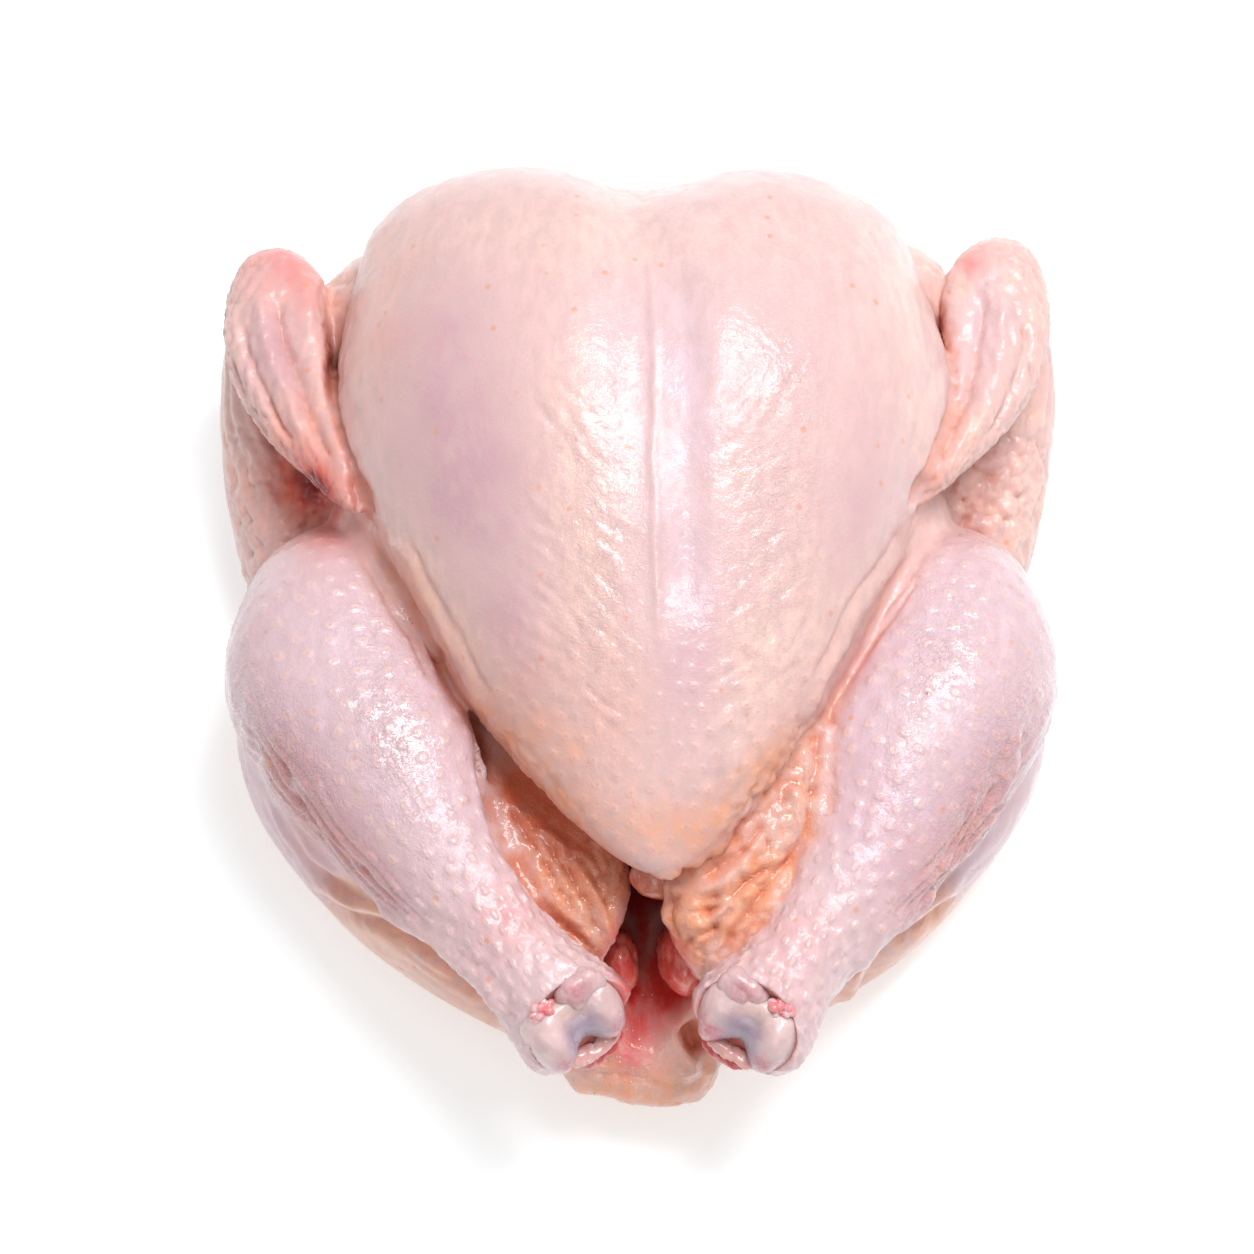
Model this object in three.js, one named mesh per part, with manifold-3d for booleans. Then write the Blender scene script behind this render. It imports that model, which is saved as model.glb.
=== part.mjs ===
// A whole raw chicken, dressed and untrussed, lying on its back with its tail towards -Y.
//
// The chicken is one solid: the back and ribs, the heart-shaped breast, the thighs and drumsticks, the
// folded wings, the tail and the two flaps of belly skin are closed surfaces that are joined, and the body
// cavity is cut out of them from the tail end. Each leg was cut at the hock, where the bare end of its shin
// bone shows: a spool of cartilage that is a solid of its own, seated in the cut. Millimetres, +Z up, the
// floor at z 0, and the origin under the middle of the box round the chicken.
import * as THREE from "three";
import { mergeVertices } from "three/addons/utils/BufferGeometryUtils.js";
import Module from "manifold-3d";

const wasm = await Module();
wasm.setup();

// ---- Driving sizes ----

// The breast, from the neck to the keel's tip, as [y, x, half-width, widest level, rise above, drop below].
const BREAST = {
  stations: [
    [121, -1, 69, 56, 28, 18],
    [100, -1, 68, 56, 37, 34],
    [77, 0, 73.5, 56, 47, 37],
    [56, 0, 75.5, 56, 51.5, 37],
    [35, 0, 71.5, 57, 50.5, 36],
    [14, 0.5, 63.5, 58, 46, 33],
    [-7, 1, 53.5, 61, 38.5, 30],
    [-28, 2, 41.5, 66, 28, 25],
    [-49, 3.4, 27.5, 71, 16.5, 16],
    [-70.5, 4.8, 16, 73, 8, 9],
  ],
  notch: { x: 1.8, depth: 9, halfWidth: 21, reach: 45 },
  groove: { depth: 3.4, halfWidth: 9, tailY: 0 },
};

// The back and ribs, flat where they lie on the floor.
const BACK = [
  [100, 0, 40, 30, 20, 22],
  [75, 0, 56, 31, 32, 33],
  [50, 0, 64, 31, 35, 34],
  [25, 0, 67, 31, 35, 34],
  [0, 0, 68, 30, 34, 33],
  [-25, 0, 67, 28, 30, 31],
  [-50, 0, 62, 25, 24, 28],
  [-75, 0, 46, 22, 18, 24],
  [-100, 0, 24, 19, 10, 16],
];

// The body cavity, entered between the belly flaps under the keel's tip, as [x, y, z, half-width, half-depth].
const CAVITY = [
  [0, 64, 42, 8, 8],
  [0, 40, 42, 26, 20],
  [0, 0, 41, 34, 23],
  [0, -40, 39, 29, 19],
  [1, -70, 37, 17, 15],
  [2, -90, 42, 12, 17],
  [2, -116, 56, 12, 22],
];

// The limbs on one side, as [x, y, z, half-width, half-depth] along each, with x measured outwards.
const SIDES = [
  {
    name: "left",
    out: -1,
    drumstick: [
      [72, 31, 37, 14, 13],
      [75, 10, 40, 22.5, 23],
      [75, -12, 43, 27, 25.5],
      [62, -36, 48, 25.5, 24],
      [48.5, -60, 53, 18.5, 18],
      [31, -84, 57, 12.2, 12.5],
      [16, -102, 58, 15.5, 13.5],
      [10, -110, 58, 15, 12],
    ],
    hock: { centre: [17, -102, 60], heading: -52, length: 26 },
    wingShift: [0, 0],
  },
  {
    name: "right",
    out: 1,
    drumstick: [
      [72, 31, 37, 14, 13],
      [75, 10, 40, 22.5, 23],
      [75, -12, 43, 27, 25.5],
      [64, -36, 48, 25.5, 24],
      [54, -60, 53, 18.5, 18],
      [39, -84, 57, 12.2, 12.5],
      [26, -102, 58, 15.5, 13.5],
      [20, -110, 58, 15, 12],
    ],
    hock: { centre: [26.5, -102, 60], heading: -56, length: 26 },
    wingShift: [-3, 2.5],
  },
];

const THIGH = [
  [72, 26, 30, 12, 14],
  [76, 6, 28, 19, 23],
  [76, -22, 27, 24, 28],
  [62, -46, 24, 23, 26],
  [40, -66, 22, 22, 24],
  [14, -82, 20, 18, 20],
  [2, -88, 20, 6, 8],
];

// The skin and fat that fill the bend between the thigh and the drumstick.
const BEND = [
  [72, 24, 34, 8, 14],
  [79, 2, 35, 17, 26],
  [78, -24, 35, 19, 27],
  [64, -48, 36, 17, 23],
  [50, -66, 38, 11, 15],
];

const FLANK = [
  [46, 56, 34, 8, 12],
  [56, 38, 36, 18, 22],
  [60, 16, 38, 20, 24],
  [58, -8, 40, 18, 22],
  [48, -30, 42, 8, 8],
];

const WING = {
  upperArm: [
    [50, 94, 42, 9, 9],
    [64, 86, 42, 17, 17],
    [76, 62, 34, 14, 15],
    [83, 38, 25, 12, 14],
    [86, 22, 19, 10, 11],
    [88, 12, 17, 5, 6],
  ],
  forearm: [
    [88, 8, 19, 6, 7],
    [88, 20, 20, 10.5, 12],
    [91.5, 42, 25, 12.5, 14],
    [94, 66, 32, 12.5, 14],
    [91, 86, 42, 12, 13],
    [88, 99, 48, 8, 9],
  ],
  web: [
    [84, 16, 20, 6, 4],
    [84, 34, 22, 13, 6],
    [81, 56, 28, 14, 6],
    [78, 76, 36, 12, 6],
    [74, 92, 42, 4, 3],
  ],
  hand: [
    [87, 99, 49, 8, 7],
    [90, 91, 52, 12, 9],
    [91, 77, 55, 13, 8.5],
    [88.5, 63, 57, 12.5, 8],
    [82, 48, 59, 10, 7.5],
    [75, 36, 61, 6.5, 5.5],
    [68, 24, 62, 3, 3],
  ],
};

const TAIL = [
  [0, -70, 20, 20, 10],
  [0, -84, 20, 27, 13],
  [0, -97, 17, 21, 12],
  [0, -106, 14, 15, 9.5],
  [0, -109.5, 12, 9, 6],
];

// The belly flaps, either side of the way into the cavity.
const FLAPS = [
  [
    [-36, -22, 60, 9, 8],
    [-28, -42, 61, 19, 9],
    [-20, -60, 59, 17, 9],
    [-17, -76, 52, 14.5, 8.5],
    [-15, -90, 43, 8, 6],
  ],
  [
    [42, -20, 60, 9, 8],
    [33, -40, 61, 20, 9],
    [24, -58, 60, 18, 10],
    [22, -76, 54, 16, 10],
    [21, -92, 44, 9, 7],
  ],
];

// The neck skin, folded down over the neck's opening.
const NECK_FLAP = [
  [-46, 86, 38, 10, 12],
  [-26, 97, 36, 14, 21],
  [0, 100, 34, 15, 24],
  [26, 97, 36, 14, 21],
  [46, 86, 38, 10, 12],
];

// The two kidneys on the cavity's back wall.
const KIDNEYS = [
  [
    [-9, -64, 23, 5, 4],
    [-9, -75, 25, 6.5, 7],
    [-7.5, -86, 26, 5.5, 6.5],
    [-6, -94, 25, 3, 3],
  ],
  [
    [11, -62, 24, 5, 4],
    [12, -73, 27, 7, 7.5],
    [12, -84, 28, 6.5, 7],
    [13, -93, 26, 3, 4],
  ],
];

// The spool at the end of the shin bone, as [share of the length, radius] out from its middle, and the cut
// face of the leg round it.
const HOCK = {
  profile: [
    [0, 6.2],
    [0.28, 6.7],
    [0.5, 8.4],
    [0.72, 9.2],
    [0.9, 8.6],
    [1, 6.6],
  ],
  around: 24,
  gap: 0.35,
  faceTilt: 48,
  faceDepth: 4.5,
};

// ---- Shape tools ----

// The signed power that squares a circle's cosine or sine: 2 leaves it round, more makes it boxy.
function squared(value, squareness) {
  return Math.sign(value) * Math.abs(value) ** (2 / squareness);
}

// A smooth curve through evenly spaced values, as a function of 0 to 1.
function through(values) {
  const curve = new THREE.CatmullRomCurve3(
    values.map((v) => new THREE.Vector3(v, 0, 0)),
    false,
    "catmullrom",
  );
  return (t) => curve.getPoint(t).x;
}

// A closed surface: rows of points round an axis, with a pole at each end. pointAt(turn, run) takes the
// share of the turn and of the run, both 0 to 1.
function closedSurface(around, along, pointAt) {
  const points = [pointAt(0, 0)];
  for (let row = 1; row < along; row++)
    for (let i = 0; i < around; i++) points.push(pointAt(i / around, row / along));
  points.push(pointAt(0, 1));
  const at = (row, i) => 1 + (row - 1) * around + (i % around);
  const last = points.length - 1;
  const faces = [];
  for (let i = 0; i < around; i++) {
    faces.push(0, at(1, i + 1), at(1, i));
    faces.push(last, at(along - 1, i), at(along - 1, i + 1));
    for (let row = 1; row < along - 1; row++) {
      faces.push(at(row, i), at(row, i + 1), at(row + 1, i + 1));
      faces.push(at(row, i), at(row + 1, i + 1), at(row + 1, i));
    }
  }
  const geometry = new THREE.BufferGeometry().setFromPoints(points);
  geometry.setIndex(faces);
  return geometry;
}

// The share of its full section that a shape has at t, which closes like a quarter of a circle over each end.
function roundedEnd(t, cap) {
  const fromEnd = Math.min(t, 1 - t) / cap;
  return fromEnd < 1 ? Math.sqrt(1 - (1 - fromEnd) ** 2) : 1;
}

// An oval section carried along a smooth path, closed and rounded at both ends. Each station is
// [x, y, z, half-width, half-depth], and across is roughly the direction of the width.
function limb(stations, across, { around = 18, along = 16, squareness = 2, cap = 0.16 } = {}) {
  const path = new THREE.CatmullRomCurve3(
    stations.map(([x, y, z]) => new THREE.Vector3(x, y, z)),
    false,
    "catmullrom",
  );
  const width = through(stations.map((s) => s[3]));
  const depth = through(stations.map((s) => s[4]));
  return closedSurface(around, along, (turn, run) => {
    const t = (1 - Math.cos(Math.PI * run)) / 2;
    const rounding = roundedEnd(t, cap);
    const forward = path.getTangent(t);
    const side = across.clone().addScaledVector(forward, -across.dot(forward)).normalize();
    const lift = forward.clone().cross(side);
    const angle = 2 * Math.PI * turn;
    return path
      .getPoint(t)
      .addScaledVector(side, width(t) * rounding * squared(Math.cos(angle), squareness))
      .addScaledVector(lift, depth(t) * rounding * squared(Math.sin(angle), squareness));
  });
}

// A torso: oval sections across the y axis, deeper above their widest level than below it or the other way
// round. Each station is [y, x, half-width, widest level, rise above, drop below].
function torso(stations, { around, along, squareness, cap, relief = () => [0, 0] }) {
  const [y, x, width, level, rise, drop] = stations[0].map((_, i) => through(stations.map((s) => s[i])));
  return closedSurface(around, along, (turn, run) => {
    const t = (1 - Math.cos(Math.PI * run)) / 2;
    const rounding = roundedEnd(t, cap);
    const angle = 2 * Math.PI * turn;
    const sideways = width(t) * rounding * squared(Math.cos(angle), squareness);
    const height = (Math.sin(angle) > 0 ? rise(t) : drop(t)) * rounding;
    const [back, down] = relief(sideways, y(t), Math.sin(angle) * rounding);
    return new THREE.Vector3(
      x(t) + sideways,
      y(t) - back,
      level(t) + height * squared(Math.sin(angle), squareness) - down,
    );
  });
}

// A closed geometry as a manifold-3d solid.
function solid(geometry) {
  const bare = geometry.clone();
  bare.deleteAttribute("normal");
  bare.deleteAttribute("uv");
  const merged = mergeVertices(bare, 1e-4);
  const made = new wasm.Manifold(
    new wasm.Mesh({
      numProp: 3,
      vertProperties: merged.attributes.position.array,
      triVerts: new Uint32Array(merged.index.array),
    }),
  );
  if (made.volume() <= 0) throw new Error("a surface is inside out");
  return made;
}

// A manifold-3d solid as a geometry.
function geometryOf(made) {
  const mesh = made.getMesh();
  const geometry = new THREE.BufferGeometry();
  geometry.setAttribute("position", new THREE.BufferAttribute(new Float32Array(mesh.vertProperties), 3));
  geometry.setIndex(new THREE.BufferAttribute(new Uint32Array(mesh.triVerts), 1));
  return geometry;
}

// The same limb on the body's other side.
function mirrored(stations, out) {
  return stations.map(([x, y, z, width, depth]) => [x * out, y, z, width, depth]);
}

// ---- The body ----

const ACROSS = new THREE.Vector3(1, 0, 0);

// The notch between the breast's two lobes at the neck, and the groove along the keel that runs out tailwards.
function breastRelief(sideways, y, upwards) {
  const { notch, groove } = BREAST;
  const neckY = BREAST.stations[0][0];
  const nearNeck = THREE.MathUtils.smoothstep(y, neckY - notch.reach, neckY);
  const pinch = notch.depth * nearNeck * Math.exp(-(((sideways - notch.x) / notch.halfWidth) ** 2));
  const fading = THREE.MathUtils.smoothstep(y, groove.tailY, groove.tailY + notch.reach);
  const valley = groove.depth * fading * Math.exp(-((sideways / groove.halfWidth) ** 2));
  return [pinch, valley * Math.max(0, upwards)];
}

function leg({ out, drumstick }) {
  const forwards = new THREE.Vector3(out, 0.6, 0);
  const backwards = new THREE.Vector3(out, -0.6, 0);
  return [
    limb(mirrored(drumstick, out), forwards, { around: 20, along: 20, cap: 0.14 }),
    limb(mirrored(THIGH, out), backwards, { around: 18, along: 15 }),
    limb(mirrored(BEND, out), backwards, { around: 14, along: 11, cap: 0.3 }),
    limb(mirrored(FLANK, out), ACROSS, { around: 12, along: 9 }),
  ];
}

function wing({ out, wingShift }) {
  const placed = (stations) =>
    mirrored(
      stations.map(([x, y, z, width, depth]) => [x + wingShift[0], y + wingShift[1], z, width, depth]),
      out,
    );
  return [
    limb(placed(WING.upperArm), ACROSS, { around: 14, along: 12 }),
    limb(placed(WING.forearm), ACROSS, { around: 16, along: 14 }),
    limb(placed(WING.web), ACROSS, { around: 12, along: 9 }),
    limb(placed(WING.hand), ACROSS, { around: 16, along: 16 }),
  ];
}

// The spool, or with a gap the hollow that it sits in, placed with its axis across the leg.
function spool({ out, hock }, gap) {
  const half = HOCK.profile.map(([share, radius]) => [(share * hock.length) / 2, radius + gap]);
  const end = [hock.length / 2 + gap, 0];
  const rim = [end[0], half[half.length - 1][1]];
  const outline = [end, rim, ...half.slice(0, -1).reverse()];
  const mirror = outline.slice(0, -1).reverse().map(([reach, radius]) => [-reach, radius]);
  const profile = [...outline, ...mirror].map(([reach, radius]) => new THREE.Vector2(radius, reach));
  const [x, y, z] = hock.centre;
  return new THREE.LatheGeometry(profile.reverse(), HOCK.around)
    .rotateZ(Math.PI / 2)
    .rotateZ(THREE.MathUtils.degToRad(out * (90 + hock.heading)) * -1)
    .translate(x * out, y, z);
}

// The block of air past the cut at the end of a leg, whose face leans back so that the spool looks upwards.
function pastTheCut({ out, hock }) {
  const size = 60;
  const [x, y, z] = hock.centre;
  const heading = THREE.MathUtils.degToRad(hock.heading);
  return new THREE.BoxGeometry(size, size, size)
    .translate(size / 2 + HOCK.faceDepth, 0, 0)
    .rotateY(-THREE.MathUtils.degToRad(HOCK.faceTilt))
    .rotateZ(out < 0 ? heading : Math.PI - heading)
    .translate(x * out, y, z);
}

const joined = [
  torso(BACK, { around: 24, along: 18, squareness: 2.7, cap: 0.12 }),
  torso(BREAST.stations, { around: 36, along: 28, squareness: 2.25, cap: 0.14, relief: breastRelief }),
  limb(TAIL, ACROSS, { around: 16, along: 9 }),
  limb(NECK_FLAP, new THREE.Vector3(0, 1, 0), { around: 14, along: 12 }),
  ...FLAPS.map((stations) => limb(stations, ACROSS, { around: 16, along: 11, squareness: 2.4 })),
  ...SIDES.flatMap(leg),
  ...SIDES.flatMap(wing),
].map(solid);

let chicken = wasm.Manifold.union(joined);
chicken = chicken.subtract(solid(limb(CAVITY, ACROSS, { around: 20, along: 16 })));
for (const lobe of KIDNEYS) chicken = chicken.add(solid(limb(lobe, ACROSS, { around: 12, along: 8 })));
for (const side of SIDES) {
  chicken = chicken.subtract(solid(pastTheCut(side))).subtract(solid(spool(side, HOCK.gap)));
}
const floorBlock = new THREE.BoxGeometry(400, 400, 60).translate(0, 0, -30);
chicken = chicken.subtract(solid(floorBlock));
// The cuts leave a crumb or two, and the joined surfaces a pinhole between them: the one real body is kept.
chicken = chicken.decompose().reduce((kept, body) => (body.volume() > kept.volume() ? body : kept));

// ---- The parts ----

const parts = new THREE.Group();

function addPart(name, made, colour, roughness) {
  const material = new THREE.MeshStandardMaterial({ color: colour, roughness, metalness: 0 });
  const mesh = new THREE.Mesh(geometryOf(made), material);
  mesh.name = name;
  parts.add(mesh);
}

addPart("chicken", chicken, 0xeac9bf, 0.4);
for (const side of SIDES) addPart("hock_" + side.name, solid(spool(side, 0)), 0xc9c3d2, 0.3);

// The origin goes under the middle of the box round all of it.
const middle = new THREE.Box3().setFromObject(parts).getCenter(new THREE.Vector3());
parts.position.set(-middle.x, -middle.y, 0);

export default parts;
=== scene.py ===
"""A whole raw chicken lying on its back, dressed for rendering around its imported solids.

Run as a script in Blender 4.5. The chicken is worked out as closed surfaces in millimetres, in the same
design frame as the solids, fused into one skin, relaxed, and then carved with folds, follicles and fat.
"""

import math

import bpy
import numpy as np

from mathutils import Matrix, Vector


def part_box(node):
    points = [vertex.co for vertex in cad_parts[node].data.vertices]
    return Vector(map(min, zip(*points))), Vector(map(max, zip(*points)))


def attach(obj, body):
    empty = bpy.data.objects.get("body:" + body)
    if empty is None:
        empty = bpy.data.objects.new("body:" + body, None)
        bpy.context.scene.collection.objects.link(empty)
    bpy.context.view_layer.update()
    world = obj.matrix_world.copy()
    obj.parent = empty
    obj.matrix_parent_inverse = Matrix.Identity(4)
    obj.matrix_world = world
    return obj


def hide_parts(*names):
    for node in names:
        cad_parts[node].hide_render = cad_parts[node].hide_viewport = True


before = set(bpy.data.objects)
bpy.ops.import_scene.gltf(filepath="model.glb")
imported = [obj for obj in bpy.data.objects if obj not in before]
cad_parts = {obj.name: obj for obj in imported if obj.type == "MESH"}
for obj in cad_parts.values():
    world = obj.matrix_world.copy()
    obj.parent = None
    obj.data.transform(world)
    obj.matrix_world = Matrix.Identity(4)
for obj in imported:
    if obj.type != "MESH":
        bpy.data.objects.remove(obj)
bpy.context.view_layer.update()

bl_info = {
    "name": "Whole raw chicken",
    "version": (1, 0, 0),
    "blender": (4, 5, 0),
    "location": "View3D > Sidebar > Chicken",
    "description": "Builds the skin, hocks, organs and moisture of a whole raw chicken, with its studio",
    "category": "Mesh",
}

MM = 0.001


# ---- What a user may change ----


def length(name, description, default):
    """A length, in metres."""
    return bpy.props.FloatProperty(
        name=name,
        description=description,
        default=default,
        min=0,
        unit="LENGTH",
        subtype="DISTANCE",
        precision=5,
    )


def factor(name, description, default, most=3.0):
    """A plain share or strength."""
    return bpy.props.FloatProperty(
        name=name, description=description, default=default, min=0, max=most, subtype="FACTOR"
    )


def count(name, description, default, least=0):
    """A whole number."""
    return bpy.props.IntProperty(name=name, description=description, default=default, min=least)


def colour(name, description, default):
    """A colour in linear light."""
    return bpy.props.FloatVectorProperty(
        name=name, description=description, default=default, size=3, min=0, max=1, subtype="COLOR"
    )


class ChickenSizes(bpy.types.PropertyGroup):
    """Sizes and strengths of the chicken's forms and surface detail."""

    voxel: length("Voxel", "Grid on which the surfaces of the body are fused", 0.0008)
    triangles: count("Skin triangles", "Most triangles of the finished skin", 196000, 20000)
    tightening: count("Tightening", "Rounds in which skin bridges the creases", 34)
    folds: factor("Folds", "Height of the folds, furrows, follicles and lobules", 1.0)
    crepe: length("Crepe", "Height of the skin's finest wrinkles", 0.00016)
    droplets: count("Droplets", "Number of droplets of moisture", 70)


class ChickenColours(bpy.types.PropertyGroup):
    """Colours of the chicken's skin, fat, flesh and cartilage."""

    skin: colour("Skin", "Pale skin over the breast", (0.685, 0.47, 0.455))
    lilac: colour("Muscle", "Muscle that shows through thin skin", (0.58, 0.36, 0.395))
    pearl: colour("Pearl", "Pale bluish skin over sinew and cartilage", (0.67, 0.51, 0.565))
    cream: colour("Cream fat", "Fat just under the skin", (0.77, 0.53, 0.465))
    peach: colour("Peach fat", "Deeper fat at the edges and flaps", (0.76, 0.345, 0.205))
    blush: colour("Blush", "Reddened skin at the joints and tips", (0.74, 0.20, 0.20))
    # Painted shade: the orange-brown dark laid in folds, furrows, pits and gaps where shade falls.
    crease_shade: colour("Crease", "Depth of the folds", (0.60, 0.15, 0.075))
    flesh: colour("Flesh", "Raw flesh in the cavity", (0.60, 0.035, 0.025))
    bump: colour("Follicle bump", "Stretched skin on the bump round a follicle", (0.80, 0.60, 0.58))
    pore: colour("Pore", "Middle of a feather follicle", (0.70, 0.30, 0.16))
    # Painted shade: the darkest red, laid where the ambient-occlusion node finds almost no light.
    gap: colour("Gap", "Darkest depth of a narrow gap", (0.26, 0.015, 0.006))
    # Painted shade: the dark red laid deep inside the cavity, where little light reaches.
    within: colour("Within", "Deep inside the cavity", (0.16, 0.009, 0.006))
    cartilage: colour("Cartilage", "Cartilage on the ends of the legs", (0.68, 0.49, 0.485))
    groove: colour("Groove", "Bluish groove of the cartilage", (0.37, 0.28, 0.35))
    bruise: colour("Bruise", "Blood under the cartilage", (0.55, 0.15, 0.19))
    ligament: colour("Ligament", "Cut ligaments round the hocks", (0.68, 0.36, 0.33))
    hock_pad: colour("Hock pad", "Soft pads above the hocks", (0.78, 0.24, 0.25))
    cut_meat: colour("Cut meat", "Meat under the hocks", (0.55, 0.06, 0.06))
    organ: colour("Organ", "Kidneys in the cavity", (0.68, 0.085, 0.065))
    # Partly the fat's own brown-orange and partly painted shade under the breast's tip.
    soft_fat: colour("Soft fat", "Flesh under the tip of the breast", (0.50, 0.13, 0.07))
    moisture: colour("Moisture", "Beads of juice", (0.74, 0.33, 0.27))


class ChickenStudio(bpy.types.PropertyGroup):
    """Lights and floor of the studio."""

    daylight: factor("Daylight", "Strength of the even light from all sides", 0.53)
    key_power: bpy.props.FloatProperty(
        name="Key light", description="Power of the large soft light", default=10.5, min=0, unit="POWER"
    )
    key_size: length("Light width", "Width of the large soft light and of the one in front", 0.48)
    glow: factor("Floor glow", "Light that the floor gives off itself", 0.33)
    floor: colour("Floor", "Colour of the floor", (0.86, 0.93, 0.94))


# ---- The body's stations, in millimetres in the design frame ----

# The breast's and the back's: y, x, half-width, widest level, rise above it and drop below it.
BREAST = [
    (121, -1, 69, 56, 28, 18),
    (100, -1, 68, 56, 37, 34),
    (77, 0, 73.5, 56, 47, 37),
    (56, 0, 75.5, 56, 51.5, 37),
    (35, 0, 71.5, 57, 50.5, 36),
    (14, 0.5, 63.5, 58, 46, 33),
    (-7, 1, 53.5, 61, 38.5, 30),
    (-28, 2, 41.5, 66, 28, 25),
    (-49, 3.4, 27.5, 71, 16.5, 16),
    (-70.5, 4.8, 16, 73, 8, 9),
]
BACK = [
    (100, 0, 40, 30, 20, 22),
    (75, 0, 56, 31, 32, 33),
    (50, 0, 64, 31, 35, 34),
    (25, 0, 67, 31, 35, 34),
    (0, 0, 68, 30, 34, 33),
    (-25, 0, 67, 28, 30, 31),
    (-50, 0, 62, 25, 24, 28),
    (-75, 0, 46, 22, 18, 24),
    (-100, 0, 24, 19, 10, 16),
]
# The rest: x, y, z, half-width and half-depth, with x measured outwards on the limbs.
CAVITY = [
    (0, 64, 42, 8, 8),
    (0, 40, 42, 26, 20),
    (0, 0, 41, 34, 23),
    (0, -40, 39, 29, 19),
    (1, -70, 37, 17, 15),
    (2, -90, 42, 12, 17),
    (2, -116, 56, 12, 22),
]
DRUMSTICK = {
    "left": [
        (72, 31, 37, 14, 13),
        (75, 10, 40, 22.5, 23),
        (72.8, -12, 44, 29.2, 25.5),
        (60.5, -36, 49, 27, 24),
        (48.5, -60, 53, 18.5, 18),
        (31, -84, 57, 12.2, 12.5),
        (16, -102, 58, 15.5, 13.5),
        (10, -110, 58, 15, 12),
    ],
    "right": [
        (72, 31, 37, 14, 13),
        (75, 10, 40, 22.5, 23),
        (73.5, -12, 44, 28.5, 25.5),
        (63, -36, 49, 26.5, 24),
        (54, -60, 53, 18.5, 18),
        (39, -84, 57, 12.2, 12.5),
        (26, -102, 58, 15.5, 13.5),
        (20, -110, 58, 15, 12),
    ],
}
THIGH = [
    (72, 26, 30, 12, 14),
    (76, 6, 28, 19, 23),
    (76, -22, 27, 24, 28),
    (62, -46, 24, 23, 26),
    (40, -66, 22, 22, 24),
    (14, -82, 20, 18, 20),
    (2, -88, 20, 6, 8),
]
BEND = [
    (72, 24, 34, 8, 14),
    (79, 2, 35, 17, 26),
    (78, -24, 35, 19, 27),
    (64, -48, 36, 17, 23),
    (50, -66, 38, 11, 15),
]
FLANK = [
    (46, 56, 34, 8, 12),
    (56, 38, 36, 18, 22),
    (60, 16, 38, 20, 24),
    (58, -8, 40, 18, 22),
    (48, -30, 42, 8, 8),
]
UPPER_ARM = [
    (50, 94, 42, 9, 9),
    (64, 86, 42, 17, 17),
    (76, 62, 34, 14, 15),
    (83, 38, 25, 12, 14),
    (86, 22, 19, 10, 11),
    (88, 12, 17, 5, 6),
]
FOREARM = [
    (88, 8, 19, 6, 7),
    (88, 20, 20, 10.5, 12),
    (91.5, 42, 25, 12.5, 14),
    (94, 66, 32, 12.5, 14),
    (91, 86, 42, 12, 13),
    (88, 99, 48, 8, 9),
]
WING_WEB = [
    (84, 16, 16, 6, 4),
    (83, 34, 16, 12, 5),
    (80, 56, 20, 13, 5),
    (78, 76, 30, 12, 5),
    (74, 92, 40, 4, 3),
]
HAND = [
    (87, 99, 49, 8, 7),
    (90, 91, 52, 12, 9),
    (91, 77, 55, 13, 8.5),
    (88.5, 63, 57, 12.5, 8),
    (81, 48, 60, 10.5, 7.8),
    (74.2, 36, 64.5, 7.2, 6.2),
    (68.3, 22.5, 68.5, 4, 3.8),
]
TAIL = [
    (0, -70, 20, 20, 10),
    (0, -84, 20, 27, 13),
    (0.5, -97, 17, 22, 12),
    (2, -106, 14, 17.5, 9.5),
    (2, -109.5, 12, 11, 6),
]
LEFT_FLAP = [
    (-38, -20, 47, 9, 8),
    (-30, -38, 48, 19, 9),
    (-20.5, -56, 50, 17.5, 9),
    (-17, -73.5, 48, 15, 8.5),
    (-15, -88, 41, 8, 6),
]
RIGHT_FLAP = [
    (42, -20, 58, 9, 8),
    (33, -40, 59, 20, 9),
    (24, -58, 58.5, 17.5, 10),
    (22, -76, 54, 16.5, 10),
    (20, -91, 45, 9.5, 7),
]
# The deep gaps that run in under the breast's edges, cut out of the skin.
LEFT_GAP = [
    (-50, 2, 56, 1.5, 2),
    (-45, -13, 57, 4, 4),
    (-37.5, -28, 59, 6, 5),
    (-28, -42, 60.5, 7, 5),
    (-17, -54, 62, 6.5, 4.5),
    (-6, -63, 62, 4.5, 4),
    (0, -67, 61, 2, 2.5),
]
RIGHT_GAP = [
    (50, -8, 58, 1.5, 2),
    (43, -24, 60, 3.5, 3.5),
    (34, -38, 63, 4.5, 3.5),
    (25, -50, 65, 4.5, 3.5),
    (15, -62, 65, 3, 3),
]
NECK_FLAP = [
    (-46, 86, 38, 10, 12),
    (-26, 97, 36, 14, 21),
    (0, 100, 34, 15, 24),
    (26, 97, 36, 14, 21),
    (46, 86, 38, 10, 12),
]
KIDNEYS = {
    "left": [(-6, -71, 28, 3.5, 4), (-5.5, -77, 30, 5.2, 7), (-5, -83, 30, 5, 6.5), (-5, -89, 27, 2.5, 3)],
    "right": [(10, -68, 29, 5, 5), (10.5, -75, 32, 7, 8), (11.5, -82, 32, 7, 8), (13, -89, 29, 4, 4.5)],
}
KEEL_FLESH = [(-1, -60, 58, 2, 2), (1.5, -64, 58, 5.5, 4.5), (4.5, -68, 57, 5.5, 4.8), (6, -71, 55, 3, 3)]
# Each bare joint: its middle, the way that its leg points in degrees from +X, and its length across.
HOCKS = {
    "left": {"centre": (-17, -102, 60), "heading": -52, "length": 26},
    "right": {"centre": (26.5, -102, 60), "heading": -124, "length": 26},
}
# The cut face round each joint: how far it leans back, how deep it lies and its half-sizes.
FACE = {"tilt": 48, "depth": 3.4, "half_width": 15.0, "half_height": 13.0}

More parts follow.
